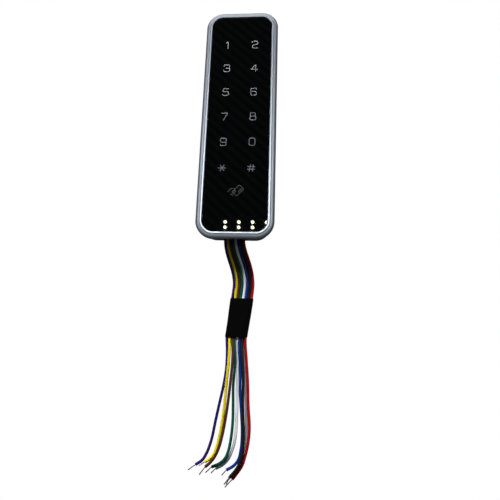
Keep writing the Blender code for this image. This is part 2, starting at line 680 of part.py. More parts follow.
def build_wire_sleeve():
    """Flat black sleeve round the bundle, leaning as the bundle does."""
    top = Vector(BUNDLE[SLEEVE_TOP]) * MM
    low = Vector(BUNDLE[SLEEVE_LOW]) * MM
    run = top - low
    lean = math.atan2(run.x, run.z)
    length = run.length
    room = 0.2 * MM
    wall = 0.3 * MM
    front = -5.1 * MM - WIRE_D / 2.0 - room
    back = -5.0 * MM + SECOND_LAYER + WIRE_D / 2.0 + room
    slim = PITCH_LOW / PITCH_TOP
    shells = []
    for name, grow, finish in (("wire_sleeve", wall, "sleeve_black"), ("sleeve_bore", 0.0, None)):
        wide = 3.5 * PITCH_TOP + WIRE_D / 2.0 + room + grow
        extra = 0.0 if finish else 2.0 * MM
        bm = box_bmesh((-wide, wide), (front - grow, back + grow),
                       (-length / 2.0 - extra, length / 2.0 + extra))
        bmesh.ops.bevel(bm, geom=edges_along(bm, 2), offset=1.0 * MM + grow, segments=3,
                        affect="EDGES", profile=0.5)
        for vert in bm.verts:
            if vert.co.z < 0.0:
                vert.co.x *= slim
        shell = mesh_object(name, bm, finish)
        shell.location = ((top.x + low.x) / 2.0, 0.0, (top.z + low.z) / 2.0)
        shell.rotation_euler = (0.0, lean, 0.0)
        shells.append(shell)
    cut(*shells)


def build_cable_grommet():
    inner_y = (-8.75 * MM, -4.95 * MM)
    body = block("cable_grommet", half(16.3 * MM), (-9.8 * MM, -4.4 * MM),
                 (-79.8 * MM, -76.9 * MM), "grommet_rubber", 1.6 * MM, 2)
    join(body, block("grommet_flange", half(17.4 * MM), (-10.6 * MM, -5.3 * MM),
                     (-77.9 * MM, -76.9 * MM), None, 1.8 * MM, 2))
    cut(body, block("grommet_slot", half(15.0 * MM), inner_y, (-83.0 * MM, -75.0 * MM), None,
                    0.8 * MM, 2))


def build_cable_clamp():
    z = (-60.0 * MM, -55.0 * MM)
    clamp = block("cable_clamp", half(25.2 * MM), (-10.3 * MM, FLOOR_FRONT_Y - FIT), z,
                  "chip_black", 0.8 * MM)
    cut(clamp, block("clamp_gap", half(14.6 * MM), (-8.7 * MM, MM), (-62.0 * MM, -53.0 * MM)))
    for side, label in ((-1, "left"), (1, "right")):
        x = side * 10.2 * MM
        cut(clamp, rod(f"clamp_hole_{label}", PILOT_R, (-12.0 * MM, 0.0), x, -57.5 * MM,
                       sides=12))
        screw_piece(f"clamp_screw_{label}", 2.0 * MM, 1.0 * MM, 1.0 * MM, 7.3 * MM,
                    (x, -10.6 * MM, -57.5 * MM), (0, -1, 0))


build_wall_bracket()
build_bezel_frame()
build_front_panel()
build_panel_gasket()
build_rear_housing()
build_housing_seal()
build_case_screws()
build_lock_screw()
build_light_guide()
build_touch_board()
build_main_board()
build_buzzer()
build_reader_coil()
build_tamper_switch()
build_leads()
build_wire_sleeve()
build_cable_grommet()
build_cable_clamp()
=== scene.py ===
"""Looks of the slim keypad access reader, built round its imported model.

Pieces are placed from the model's own boxes and from the sizes below.  These are
the source's, but the leads' thickness, spacing and tails, and the seam between
frame and case, differ a little to close gaps that would show.  Lengths are in
millimetres, those of the camera and the lights in metres; +Z is up and the reader
faces -Y.
"""
import math

import bmesh
import bpy
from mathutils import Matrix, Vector


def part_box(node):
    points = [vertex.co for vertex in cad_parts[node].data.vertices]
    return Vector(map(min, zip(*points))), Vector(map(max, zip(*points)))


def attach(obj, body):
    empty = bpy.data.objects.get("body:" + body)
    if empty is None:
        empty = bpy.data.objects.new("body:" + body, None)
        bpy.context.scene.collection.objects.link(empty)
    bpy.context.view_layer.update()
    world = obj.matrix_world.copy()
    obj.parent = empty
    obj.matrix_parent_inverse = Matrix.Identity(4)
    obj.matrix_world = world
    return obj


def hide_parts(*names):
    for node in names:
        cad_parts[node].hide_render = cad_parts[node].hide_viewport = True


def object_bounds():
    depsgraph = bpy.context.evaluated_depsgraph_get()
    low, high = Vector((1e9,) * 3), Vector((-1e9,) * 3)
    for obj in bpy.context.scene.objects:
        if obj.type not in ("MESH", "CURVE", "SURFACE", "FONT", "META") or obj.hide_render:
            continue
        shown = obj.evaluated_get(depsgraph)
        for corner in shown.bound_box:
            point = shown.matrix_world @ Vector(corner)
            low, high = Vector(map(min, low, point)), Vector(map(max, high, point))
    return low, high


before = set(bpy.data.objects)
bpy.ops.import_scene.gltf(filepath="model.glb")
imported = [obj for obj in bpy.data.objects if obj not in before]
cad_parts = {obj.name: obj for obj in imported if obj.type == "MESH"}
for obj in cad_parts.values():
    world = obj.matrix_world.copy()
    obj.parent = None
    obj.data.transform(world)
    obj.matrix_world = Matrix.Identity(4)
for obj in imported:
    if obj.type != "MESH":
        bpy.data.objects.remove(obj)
CAD_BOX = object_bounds()

MM = 0.001

# ------------------------------------------------------------------ sizes

PANEL_FACE_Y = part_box("front_panel")[0].y / MM
ROW_TOP = 55.9
ROW_PITCH = 18.35
COLUMN_X = 9.45
COLUMN_MIDDLE = 0.0
ICON_PLACE = (0.1, -51.4)

WIRE_D = 1.74
CORE_D = 0.6
CORE_STEPS = 12
CORE_TWIST = 300.0
PITCH_TOP = 1.70
PITCH_LOW = 1.64
SECOND_LAYER = 1.7
LEAD_STEP = 4.6
PLUG_Y = -7.1
PLUG_MOUTH_Z = -46.8
SLEEVE_TOP, SLEEVE_LOW = 9, 11
WIRE_NAMES = ("violet", "yellow", "brown", "green", "white", "blue", "black", "grey", "red")
LANE = {"violet": 0, "yellow": 1, "brown": 2, "green": 3, "white": 4, "blue": 5,
        "black": 6, "grey": 6.55, "red": 7.06}

# Middle of the flat bundle from the case down to the sleeve's end.
BUNDLE = (
    (0.0, -7.6, -58.0), (0.0, -7.6, -66.0), (-0.2, -7.6, -74.0), (-0.7, -7.6, -80.3),
    (0.1, -7.4, -86.6), (1.9, -7.0, -92.4), (4.0, -6.4, -98.4), (5.5, -5.9, -104.4),
    (6.0, -5.5, -109.9), (5.2, -5.1, -118.3), (3.8, -5.0, -130.2), (2.4, -5.0, -142.1),
)

# Each lead's own way from the sleeve to the end of its insulation.
TAILS = {
    "violet": ((-2.8, -4.8, -149.0), (-2.8, -4.6, -160.0), (-3.9, -4.6, -169.5),
               (-5.9, -4.6, -180.0), (-7.9, -4.6, -190.5), (-9.8, -4.6, -201.0),
               (-12.3, -4.5, -208.5), (-14.9, -4.4, -212.6), (-18.4, -4.3, -215.0)),
    "yellow": ((-1.2, -5.6, -149.0), (-1.5, -6.2, -159.0), (-2.2, -6.2, -169.5),
               (-3.0, -6.2, -183.0), (-4.4, -6.2, -195.0), (-6.5, -6.2, -205.0),
               (-9.2, -6.1, -210.3), (-12.7, -6.0, -212.8)),
    "brown": ((0.8, -6.1, -149.0), (0.9, -7.1, -158.5), (0.2, -7.3, -169.5),
              (-1.1, -7.3, -183.5), (-2.9, -7.3, -196.0), (-5.2, -7.3, -205.4),
              (-8.4, -7.2, -211.4), (-12.3, -7.1, -215.2)),
    "green": ((1.8, -4.9, -149.0), (2.4, -4.8, -159.0), (1.8, -4.8, -170.0),
              (2.1, -4.8, -180.0), (2.3, -4.8, -191.0), (1.5, -4.8, -201.0),
              (-0.3, -4.8, -208.8), (-3.3, -4.7, -213.0), (-9.0, -4.6, -215.8)),
    "white": ((3.2, -3.9, -149.0), (4.0, -3.1, -159.0), (3.9, -3.0, -169.6),
              (4.3, -3.0, -180.0), (4.4, -3.0, -190.5), (3.8, -3.0, -201.0),
              (1.6, -3.0, -208.8), (-1.2, -3.0, -213.5), (-6.7, -3.0, -216.9)),
    "blue": ((4.7, -4.8, -149.0), (5.8, -4.5, -163.0), (6.0, -4.5, -174.0),
             (7.1, -4.5, -185.0), (8.0, -4.5, -196.0), (7.6, -4.5, -206.0),
             (5.4, -4.5, -213.0), (-0.3, -4.4, -217.0)),
    "black": ((6.3, -5.5, -149.0), (7.0, -6.2, -156.0), (7.8, -6.3, -166.0),
              (7.9, -6.3, -177.0), (8.5, -6.3, -187.7), (9.0, -6.3, -198.0),
              (8.5, -6.3, -208.5), (6.2, -6.2, -214.8), (2.0, -6.1, -220.0)),
    "grey": ((7.4, -3.1, -149.0), (8.2, -2.7, -156.0), (9.0, -2.7, -166.0),
             (9.4, -2.7, -177.0), (10.1, -2.7, -187.5), (10.3, -2.7, -198.0),
             (9.5, -2.7, -208.5), (7.0, -2.7, -216.0), (1.0, -2.7, -221.8)),
    "red": ((8.6, -4.8, -149.0), (9.4, -4.6, -157.0), (10.5, -4.6, -169.0),
            (11.2, -4.6, -182.0), (12.2, -4.6, -193.0), (11.8, -4.6, -201.5),
            (10.5, -4.6, -208.0), (8.4, -4.6, -214.6), (3.3, -4.5, -221.7)),
}
TIPS = {
    "violet": (-22.8, -4.2, -218.2), "yellow": (-16.2, -5.9, -215.2),
    "brown": (-15.6, -7.0, -219.5), "green": (-12.4, -4.5, -219.0),
    "white": (-9.5, -3.0, -219.6), "blue": (-3.0, -4.3, -220.0),
    "black": (0.0, -6.0, -224.0), "grey": (-1.6, -2.7, -225.2),
    "red": (-0.9, -4.4, -226.1),
}

# ------------------------------------------------------- shaping by hand

def settle():
    """Leaves edit mode with nothing selected."""
    if bpy.context.mode != "OBJECT":
        bpy.ops.object.mode_set(mode="OBJECT")
    bpy.ops.object.select_all(action="DESELECT")


def hold(piece):
    settle()
    piece.select_set(True)
    bpy.context.view_layer.objects.active = piece
    return piece


def named(name):
    """Names the object just made, and its data."""
    piece = bpy.context.object
    piece.name = name
    piece.data.name = name
    return piece


def keep(name):
    """Names the primitive just added and puts its place into its mesh."""
    piece = named(name)
    bpy.ops.object.transform_apply(location=True, rotation=True, scale=True)
    return piece


def block(name, x, y, z):
    """A block between the (low, high) pairs x, y and z."""
    settle()
    middle = [MM * (low + high) / 2.0 for low, high in (x, y, z)]
    size = [MM * (high - low) for low, high in (x, y, z)]
    bpy.ops.mesh.primitive_cube_add(size=1.0, location=middle, scale=size)
    return keep(name)


def disc_rod(name, radius, place, length, toward="Y", sides=48):
    """A rod centred on a place, along Y or Z."""
    settle()
    turn = (math.radians(90.0), 0.0, 0.0) if toward == "Y" else (0.0, 0.0, 0.0)
    bpy.ops.mesh.primitive_cylinder_add(vertices=sides, radius=radius * MM, depth=length * MM,
                                        location=[MM * value for value in place], rotation=turn)
    return keep(name)


def half(size):
    return (-size / 2.0, size / 2.0)


def around(middle, reach):
    return (middle - reach, middle + reach)


def choose(piece, kind, test):
    """Opens a piece for shaping, with the parts that pass a test selected."""
    hold(piece)
    bpy.ops.object.mode_set(mode="EDIT")
    bpy.ops.mesh.select_mode(type=kind)
    bpy.ops.mesh.select_all(action="DESELECT")
    shape = bmesh.from_edit_mesh(piece.data)
    shape.normal_update()
    parts = {"VERT": shape.verts, "EDGE": shape.edges, "FACE": shape.faces}[kind]
    for part in parts:
        if test(part):
            part.select_set(True)
    if kind == "VERT":
        shape.select_flush(True)
    bmesh.update_edit_mesh(piece.data)


def runs_along(edge, axis):
    run = edge.verts[1].co - edge.verts[0].co
    return abs(run[axis]) > 0.99 * run.length


def round_edges(piece, test, radius, segments):
    """Rounds the edges that pass a test."""
    choose(piece, "EDGE", test)
    bpy.ops.mesh.bevel(offset=radius * MM, segments=segments, affect="EDGES")
    settle()


def round_corners(piece, axis, radius, segments):
    """Rounds the edges that run along an axis."""
    round_edges(piece, lambda edge: runs_along(edge, axis), radius, segments)


def facing(face, axis, sign):
    return face.normal[axis] * sign > 0.9


def inset(run, drop):
    """Insets the chosen faces by a run and lets them down by a drop."""
    bpy.ops.mesh.inset(thickness=run * MM, depth=-drop * MM, use_even_offset=True)


def push(step):
    """Extrudes the chosen faces by a step."""
    bpy.ops.mesh.extrude_region_move(
        TRANSFORM_OT_translate={"value": [value * MM for value in step]})


def apply_modifier(piece, modifier):
    hold(piece)
    bpy.ops.object.modifier_apply(modifier=modifier.name)


def soften(piece, width, segments=2, angle=40.0):
    """Takes the sharpness off a piece's edges."""
    modifier = piece.modifiers.new("softened", "BEVEL")
    modifier.width = width * MM
    modifier.segments = segments
    modifier.limit_method = "ANGLE"
    modifier.angle_limit = math.radians(angle)
    modifier.use_clamp_overlap = True
    apply_modifier(piece, modifier)


def carve(piece, *cutters, operation="DIFFERENCE"):
    """Cuts cutters out of a piece, or joins them on, and clears them away."""
    for cutter in cutters:
        modifier = piece.modifiers.new("carved", "BOOLEAN")
        modifier.operation = operation
        modifier.solver = "EXACT"
        modifier.object = cutter
        apply_modifier(piece, modifier)
        bpy.data.objects.remove(cutter, do_unlink=True)


def rounded_plate(name, width, length, y, radius, segments=14):
    """A plate in the XZ plane with rounded corners, centred on the Y axis."""
    plate = block(name, half(width), y, half(length))
    round_corners(plate, 1, radius, segments)
    return plate


# ------------------------------------------------------------ shared effects

def set_inputs(tree, node, inputs):
    """Links each input that is given as a socket, and sets the others."""
    for key, value in inputs.items():
        if isinstance(value, bpy.types.NodeSocket):
            tree.links.new(value, node.inputs[key])
        else:
            node.inputs[key].default_value = value
    return node


def add_node(tree, kind, inputs=None, **settings):
    """Adds a shader node with its inputs and its own settings."""
    node = tree.nodes.new(f"ShaderNode{kind}")
    for key, value in settings.items():
        setattr(node, key, value)
    return set_inputs(tree, node, inputs or {})


def reckon(tree, operation, *values):
    """The result of one sum on sockets and numbers."""
    return add_node(tree, "Math", dict(enumerate(values)),
                    operation=operation).outputs[0]


def ramp(tree, value, span, start=0.0, end=1.0):
    """Goes from start to end while a value crosses a span."""
    return add_node(tree, "MapRange", {0: value, 1: span[0], 2: span[1], 3: start,
                                       4: end}).outputs[0]


def blend(tree, share, first, second):
    """A colour between two, by a share from 0 to 1."""
    return add_node(tree, "Mix", {0: share, 6: first, 7: second},
                    data_type="RGBA").outputs[2]


def new_effect(name, inputs, outputs):
    """A shader node group with its named sockets and its two ends."""
    tree = bpy.data.node_groups.new(name, "ShaderNodeTree")
    for label, kind, value in inputs:
        socket = tree.interface.new_socket(name=label, in_out="INPUT",
                                           socket_type=f"NodeSocket{kind}")
        socket.default_value = value
    for label, kind in outputs:
        tree.interface.new_socket(name=label, in_out="OUTPUT", socket_type=f"NodeSocket{kind}")
    return tree, tree.nodes.new("NodeGroupInput").outputs, tree.nodes.new("NodeGroupOutput").inputs


def object_place(tree):
    return add_node(tree, "TexCoord").outputs["Object"]


def spread_about(tree, factor, middle, spread):
    """middle + (factor - 0.5) * spread."""
    shifted = reckon(tree, "SUBTRACT", factor, 0.5)
    return reckon(tree, "MULTIPLY_ADD", shifted, spread, middle)


def build_colour_drift():
    """Colour that drifts a little from place to place."""
    tree, given, out = new_effect(
        "colour_drift",
        (("Colour", "Color", (0.5, 0.5, 0.5, 1.0)), ("Scale", "Float", 60.0),
         ("Amount", "Float", 0.1)),
        (("Colour", "Color"),))
    noise = add_node(tree, "TexNoise",
                     {"Vector": object_place(tree), "Scale": given["Scale"], "Detail": 5.0})
    shade = spread_about(tree, noise.outputs[0], 1.0, given["Amount"])
    drift = add_node(tree, "VectorMath", {0: given["Colour"], "Scale": shade},
                     operation="SCALE")
    tree.links.new(drift.outputs[0], out["Colour"])
    return tree


def build_moulded_grain():
    """Fine grain of a moulded or painted surface: height and roughness."""
    tree, given, out = new_effect(
        "moulded_grain",
        (("Scale", "Float", 3000.0), ("Roughness", "Float", 0.5), ("Spread", "Float", 0.1)),
        (("Height", "Float"), ("Roughness", "Float")))
    place = object_place(tree)
    fine = add_node(tree, "TexNoise",
                    {"Vector": place, "Scale": given["Scale"], "Detail": 3.0})
    pits = add_node(tree, "TexVoronoi", {"Vector": place, "Scale": given["Scale"]})
    height = reckon(tree, "ADD", fine.outputs[0], pits.outputs[0])
    patch = add_node(tree, "TexNoise", {"Vector": place, "Scale": 90.0, "Detail": 4.0})
    tree.links.new(height, out["Height"])
    tree.links.new(spread_about(tree, patch.outputs[0], given["Roughness"], given["Spread"]),
                   out["Roughness"])
    return tree


def build_drawn_lines():
    """Fine lines left by drawing or brushing along one axis."""
    tree, given, out = new_effect(
        "drawn_lines",
        (("Stretch", "Vector", (1.0, 1.0, 0.05)), ("Scale", "Float", 3000.0),
         ("Roughness", "Float", 0.35), ("Spread", "Float", 0.2)),
        (("Height", "Float"), ("Roughness", "Float")))
    place = add_node(tree, "Mapping",
                     {"Vector": object_place(tree), "Scale": given["Stretch"]})
    lines = add_node(tree, "TexNoise",
                     {"Vector": place.outputs[0], "Scale": given["Scale"], "Detail": 4.0})
    tree.links.new(lines.outputs[0], out["Height"])
    tree.links.new(spread_about(tree, lines.outputs[0], given["Roughness"], given["Spread"]),
                   out["Roughness"])
    return tree


def build_soft_dust():
    """A thin film of dust and finger marks: a mask."""
    tree, given, out = new_effect(
        "soft_dust",
        (("Scale", "Float", 120.0), ("Amount", "Float", 0.2)), (("Mask", "Float"),))
    noise = add_node(tree, "TexNoise",
                     {"Vector": object_place(tree), "Scale": given["Scale"], "Detail": 8.0,
                      "Roughness": 0.7})
    kept = ramp(tree, noise.outputs[0], (0.45, 0.75), 0.0, given["Amount"])
    tree.links.new(kept, out["Mask"])
    return tree


COLOUR_DRIFT = build_colour_drift()
MOULDED_GRAIN = build_moulded_grain()
DRAWN_LINES = build_drawn_lines()
SOFT_DUST = build_soft_dust()


def place_effect(tree, effect, inputs):
    """Places a shared effect in a material with this material's own values."""
    node = tree.nodes.new("ShaderNodeGroup")
    node.node_tree = effect
    return set_inputs(tree, node, inputs).outputs


def drifting(tree, colour, scale, amount):
    return place_effect(tree, COLOUR_DRIFT,
                        {"Colour": colour, "Scale": scale, "Amount": amount})[0]


# ------------------------------------------------------------------ finishes

FINISH = {}
DUST_COLOUR = (0.30, 0.30, 0.29, 1.0)
WIRE_COLOURS = {
    "violet": (0.020, 0.007, 0.140), "yellow": (0.800, 0.660, 0.003),
    "brown": (0.075, 0.022, 0.014), "green": (0.001, 0.085, 0.060),
    "white": (0.900, 0.915, 0.940), "blue": (0.003, 0.028, 0.230),
    "black": (0.009, 0.010, 0.012), "grey": (0.400, 0.410, 0.440),
    "red": (0.370, 0.003, 0.007),
}
LEGEND_COLOUR = (0.088, 0.106, 0.136)
ICON_COLOUR = (0.060, 0.069, 0.086)


def open_finish(name, plain):
    """A new material with its shader, whose uniform sockets are set plainly."""
    material = bpy.data.materials.new(name)
    material.use_nodes = True
    shader = material.node_tree.nodes["Principled BSDF"]
    set_inputs(material.node_tree, shader, plain)
    FINISH[name] = material
    return material.node_tree, shader


def feed(tree, shader, key, source):
    tree.links.new(source, shader.inputs[key])


def raise_surface(tree, shader, height, strength, distance=0.0001):
    bump = add_node(tree, "Bump", {"Height": height, "Strength": strength,
                                             "Distance": distance})
    feed(tree, shader, "Normal", bump.outputs[0])


def moulded(name, colour, roughness, drift=(60.0, 0.16), grain=(3000.0, 0.12), bump=0.25,
            dust=0.0, **plain):
    """A moulded, painted or coated finish."""
    tree, shader = open_finish(name, plain)
    tone = drifting(tree, (*colour, 1.0), *drift)
    if dust:
        mask = place_effect(tree, SOFT_DUST, {"Amount": dust})[0]
        tone = blend(tree, mask, tone, DUST_COLOUR)
    feed(tree, shader, "Base Color", tone)
    surface = place_effect(tree, MOULDED_GRAIN,
                           {"Scale": grain[0], "Roughness": roughness, "Spread": grain[1]})
    feed(tree, shader, "Roughness", surface["Roughness"])
    raise_surface(tree, shader, surface["Height"], bump, 0.00005)
    return tree, shader


def drawn(name, colour, roughness, stretch, scale=2500.0, spread=0.25, bump=0.2,
          drift=(80.0, 0.14), **plain):
    """A drawn, rolled or turned metal finish."""
    tree, shader = open_finish(name, {"Metallic": 1.0, **plain})
    tone = drifting(tree, (*colour, 1.0), *drift)
    feed(tree, shader, "Base Color", tone)
    lines = place_effect(tree, DRAWN_LINES,
                         {"Stretch": stretch, "Scale": scale, "Roughness": roughness,
                          "Spread": spread})
    feed(tree, shader, "Roughness", lines["Roughness"])
    raise_surface(tree, shader, lines["Height"], bump, 0.00003)
    return tree, shader


def build_smoked_panel():
    """Gloss black glass over a film with a faint slanting weave."""
    tree, shader = open_finish("smoked_panel", {
        "Specular IOR Level": 0.5, "IOR": 1.47, "Coat Weight": 0.0})
    place = add_node(tree, "Mapping",
                     {"Vector": object_place(tree), "Rotation": (0.0, math.radians(47.0), 0.0)})
    broad = add_node(tree, "TexWave",
                     {"Vector": place.outputs[0], "Scale": 58.0, "Distortion": 0.6,
                      "Detail": 1.0, "Detail Scale": 2.0},
                     wave_type="BANDS", bands_direction="X")
    fine = add_node(tree, "TexNoise",
                    {"Vector": place.outputs[0], "Scale": 900.0, "Detail": 2.0})
    weave = reckon(tree, "MULTIPLY", broad.outputs[0], fine.outputs[0])
    tone = blend(tree, weave, (0.0060, 0.0074, 0.0080, 1.0), (0.0230, 0.0275, 0.0300, 1.0))
    feed(tree, shader, "Base Color", tone)
    gloss = place_effect(tree, MOULDED_GRAIN,
                         {"Scale": 500.0, "Roughness": 0.016, "Spread": 0.008})
    feed(tree, shader, "Roughness", gloss["Roughness"])


def build_board_green():
    """Green solder mask over copper tracks."""
    tree, shader = open_finish("board_green", {"Coat Weight": 0.3, "Coat Roughness": 0.15})
    cells = add_node(tree, "TexVoronoi",
                     {"Vector": object_place(tree), "Scale": 420.0, "Randomness": 0.85},
                     distance="CHEBYCHEV", feature="F1")
    edge = ramp(tree, cells.outputs["Distance"], (0.36, 0.44))
    tone = blend(tree, edge, (0.008, 0.085, 0.034, 1.0), (0.020, 0.170, 0.060, 1.0))
    feed(tree, shader, "Base Color", drifting(tree, tone, 50.0, 0.25))
    surface = place_effect(tree, MOULDED_GRAIN, {"Scale": 2600.0, "Roughness": 0.42,
                                                 "Spread": 0.12})
    feed(tree, shader, "Roughness", surface["Roughness"])
    raise_surface(tree, shader, edge, 0.4, 0.00004)


def build_coil_copper():
    """Enamelled copper laid in close turns."""
    tree, shader = open_finish("coil_copper", {"Metallic": 1.0, "Coat Weight": 0.5,
                                               "Coat Roughness": 0.12})
    turns = add_node(tree, "TexWave",
                     {"Vector": object_place(tree), "Scale": 650.0, "Distortion": 1.2},
                     wave_type="BANDS", bands_direction="DIAGONAL")
    feed(tree, shader, "Base Color", drifting(tree, (0.70, 0.30, 0.14, 1.0), 200.0, 0.3))
    feed(tree, shader, "Roughness", spread_about(tree, turns.outputs[0], 0.33, 0.12))
    raise_surface(tree, shader, turns.outputs[0], 0.5, 0.00008)


def build_finishes():
    moulded("satin_silver", (0.58, 0.635, 0.73), 0.42, drift=(40.0, 0.05), grain=(5200.0, 0.05),
            bump=0.10, Metallic=1.0)
    build_smoked_panel()
    moulded("case_black", (0.016, 0.017, 0.019), 0.50, drift=(45.0, 0.3), grain=(2600.0, 0.14),
            bump=0.45, dust=0.02)
    drawn("zinc_steel", (0.50, 0.51, 0.53), 0.46, (1.0, 1.0, 0.06), scale=2200.0)
    drawn("screw_steel", (0.40, 0.40, 0.42), 0.34, (1.0, 1.0, 1.0), scale=4000.0, spread=0.15)
    build_board_green()
    moulded("chip_black", (0.018, 0.018, 0.020), 0.52, grain=(4200.0, 0.15), bump=0.35)
    moulded("led_white", (0.85, 0.86, 0.80), 0.30, drift=(400.0, 0.10), bump=0.10)
    moulded("diffuser_white", (0.80, 0.82, 0.84), 0.42, drift=(90.0, 0.08), bump=0.15)
    moulded("foam_black", (0.028, 0.028, 0.030), 0.88, drift=(500.0, 0.4), grain=(2200.0, 0.1),
            bump=0.8)
    moulded("seal_grey", (0.10, 0.10, 0.11), 0.78, drift=(300.0, 0.25), bump=0.5)
    build_coil_copper()
    moulded("ferrite_grey", (0.07, 0.07, 0.08), 0.68, drift=(150.0, 0.2), bump=0.3)
    moulded("connector_cream", (0.76, 0.72, 0.60), 0.44, drift=(120.0, 0.10), bump=0.2)
    moulded("grommet_rubber", (0.020, 0.020, 0.022), 0.72, drift=(150.0, 0.3), bump=0.4,
            dust=0.03)
    moulded("sleeve_black", (0.011, 0.0125, 0.013), 0.66, drift=(110.0, 0.35),
            grain=(1500.0, 0.18), bump=0.5, **{"Specular IOR Level": 0.25})
    drawn("tinned_copper", (0.62, 0.64, 0.68), 0.30, (1.0, 1.0, 0.2), scale=3500.0, spread=0.2)
    moulded("plunger_white", (0.72, 0.72, 0.70), 0.40, drift=(300.0, 0.08), bump=0.15)
    drawn("spring_steel", (0.52, 0.52, 0.54), 0.25, (1.0, 0.2, 1.0), scale=4000.0)
    for name, colour in WIRE_COLOURS.items():
        moulded(f"wire_{name}", colour, 0.52, drift=(260.0, 0.12), grain=(2400.0, 0.12),
                bump=0.22, **{"Specular IOR Level": 0.18})
    moulded("legend_ink", LEGEND_COLOUR, 0.45, drift=(300.0, 0.10), grain=(4000.0, 0.10),
            bump=0.15)
    moulded("icon_ink", ICON_COLOUR, 0.50, drift=(300.0, 0.10), grain=(4000.0, 0.10), bump=0.15)


build_finishes()


def finish(piece, slot, body="reader", stands_for=(), angle=32.0, material=None,
           flat_faces=False):
    """Gives a piece its finish, its smooth shading and the body it rides on."""
    hold(piece)
    if piece.type == "MESH":
        bpy.ops.object.shade_smooth_by_angle(angle=math.radians(angle))
    if flat_faces:
        modifier = piece.modifiers.new("flat_faces", "WEIGHTED_NORMAL")
        modifier.keep_sharp = True
        apply_modifier(piece, modifier)
    piece.data.materials.clear()
    piece.data.materials.append(FINISH[material or slot])
    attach(piece, body)
    if stands_for:
        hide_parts(*stands_for)
    return piece


def renew_model_finishes():
    """Each node of the model takes the finish of its own slot."""
    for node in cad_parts.values():
        for index, material in enumerate(node.data.materials):
            node.data.materials[index] = FINISH[material.name.split(".")[0]]


# ---------------------------------------------------------------- camera

CAMERA_PLACE = (0.0279, -0.2558, -0.1437)
CAMERA_TURN = (102.706, -1.727, 3.833)
CAMERA_LENS, CAMERA_WIDTH = 28.8, 36.0


def set_camera():
    settle()
    bpy.ops.object.camera_add(location=CAMERA_PLACE,
                              rotation=[math.radians(turn) for turn in CAMERA_TURN])
    camera = named("reader_view")
    camera.data.lens = CAMERA_LENS
    camera.data.sensor_width = CAMERA_WIDTH
    camera.data.clip_start = 0.01
    bpy.context.scene.camera = camera


# ----------------------------------------------------------------- leads

def smooth_points(route, step):
    """Evenly spaced points on a smooth curve through the route's points."""
    fine = []
    last = len(route) - 1
    for index in range(last):
        a = route[max(index - 1, 0)]
        b, c = route[index], route[index + 1]
        d = route[min(index + 2, last)]
        span = (c - b).length
        leave = (c - a) * (span / (c - a).length)
        arrive = (d - b) * (span / (d - b).length)
        for part in range(16):
            t = part / 16.0
            fine.append(b * (2 * t ** 3 - 3 * t ** 2 + 1) + leave * (t ** 3 - 2 * t ** 2 + t)
                        + c * (3 * t ** 2 - 2 * t ** 3) + arrive * (t ** 3 - t ** 2))
    fine.append(route[last])
    reach = [0.0]
    for before, after in zip(fine, fine[1:]):
        reach.append(reach[-1] + (after - before).length)
    count = max(2, round(reach[-1] / step))
    points, at = [], 0
    for index in range(count + 1):
        goal = reach[-1] * index / count
        while at < len(fine) - 2 and reach[at + 1] < goal:
            at += 1
        share = (goal - reach[at]) / (reach[at + 1] - reach[at])
        points.append(fine[at].lerp(fine[at + 1], min(1.0, share)))
    return points


def bundle_pitch(index):
    share = max(0.0, (index - SLEEVE_TOP) / (SLEEVE_LOW - SLEEVE_TOP))
    return PITCH_TOP + (PITCH_LOW - PITCH_TOP) * share


def bundle_point(index, name):
    """A lead's place in the flat bundle at one of the bundle's points."""
    here = Vector(BUNDLE[index])
    before = Vector(BUNDLE[max(index - 1, 0)])
    after = Vector(BUNDLE[min(index + 1, len(BUNDLE) - 1)])
    run = after - before
    across = Vector((-run.z, 0.0, run.x)).normalized()
    back = Vector((0.0, SECOND_LAYER if name == "grey" else 0.0, 0.0))
    return here + across * (LANE[name] - 3.5) * bundle_pitch(index) + back


def lead_route(name):
    """From the plug's mouth, through the case and the sleeve, to the bared end."""
    pin_x = (WIRE_NAMES.index(name) - 4) * PITCH_TOP
    first = bundle_point(0, name)
    route = [Vector((pin_x, PLUG_Y, PLUG_MOUTH_Z)), Vector((pin_x, PLUG_Y, -48.4)),
             Vector((pin_x, first.y, -52.0))]
    route += [bundle_point(index, name) for index in range(len(BUNDLE))]
    route += [Vector(point) for point in TAILS[name]]
    return route


def start_line(name):
    """A curve at the origin with closed ends, ready for its points."""
    settle()
    bpy.ops.curve.primitive_bezier_curve_add(location=(0.0, 0.0, 0.0))
    line = named(name)
    line.data.use_fill_caps = True
    return line


def join_lines(name, lines):
    """Makes curves one mesh."""
    settle()
    for line in lines:
        line.select_set(True)
    bpy.context.view_layer.objects.active = lines[0]
    bpy.ops.object.convert(target="MESH")
    if len(lines) > 1:
        bpy.ops.object.join()
    return named(name)


def round_line(name, points, thickness, resolution, fine=4):
    """A round line through points: a curve of one open spline."""
    line = start_line(name)
    spline = line.data.splines[0]
    spline.bezier_points.add(len(points) - 2)
    for knot, place in zip(spline.bezier_points, points):
        knot.co = place * MM
        knot.handle_left_type = "AUTO"
        knot.handle_right_type = "AUTO"
    spline.resolution_u = fine
    line.data.resolution_u = fine
    line.data.render_resolution_u = 0
    line.data.bevel_depth = thickness * MM / 2.0
    line.data.bevel_resolution = resolution
    return line


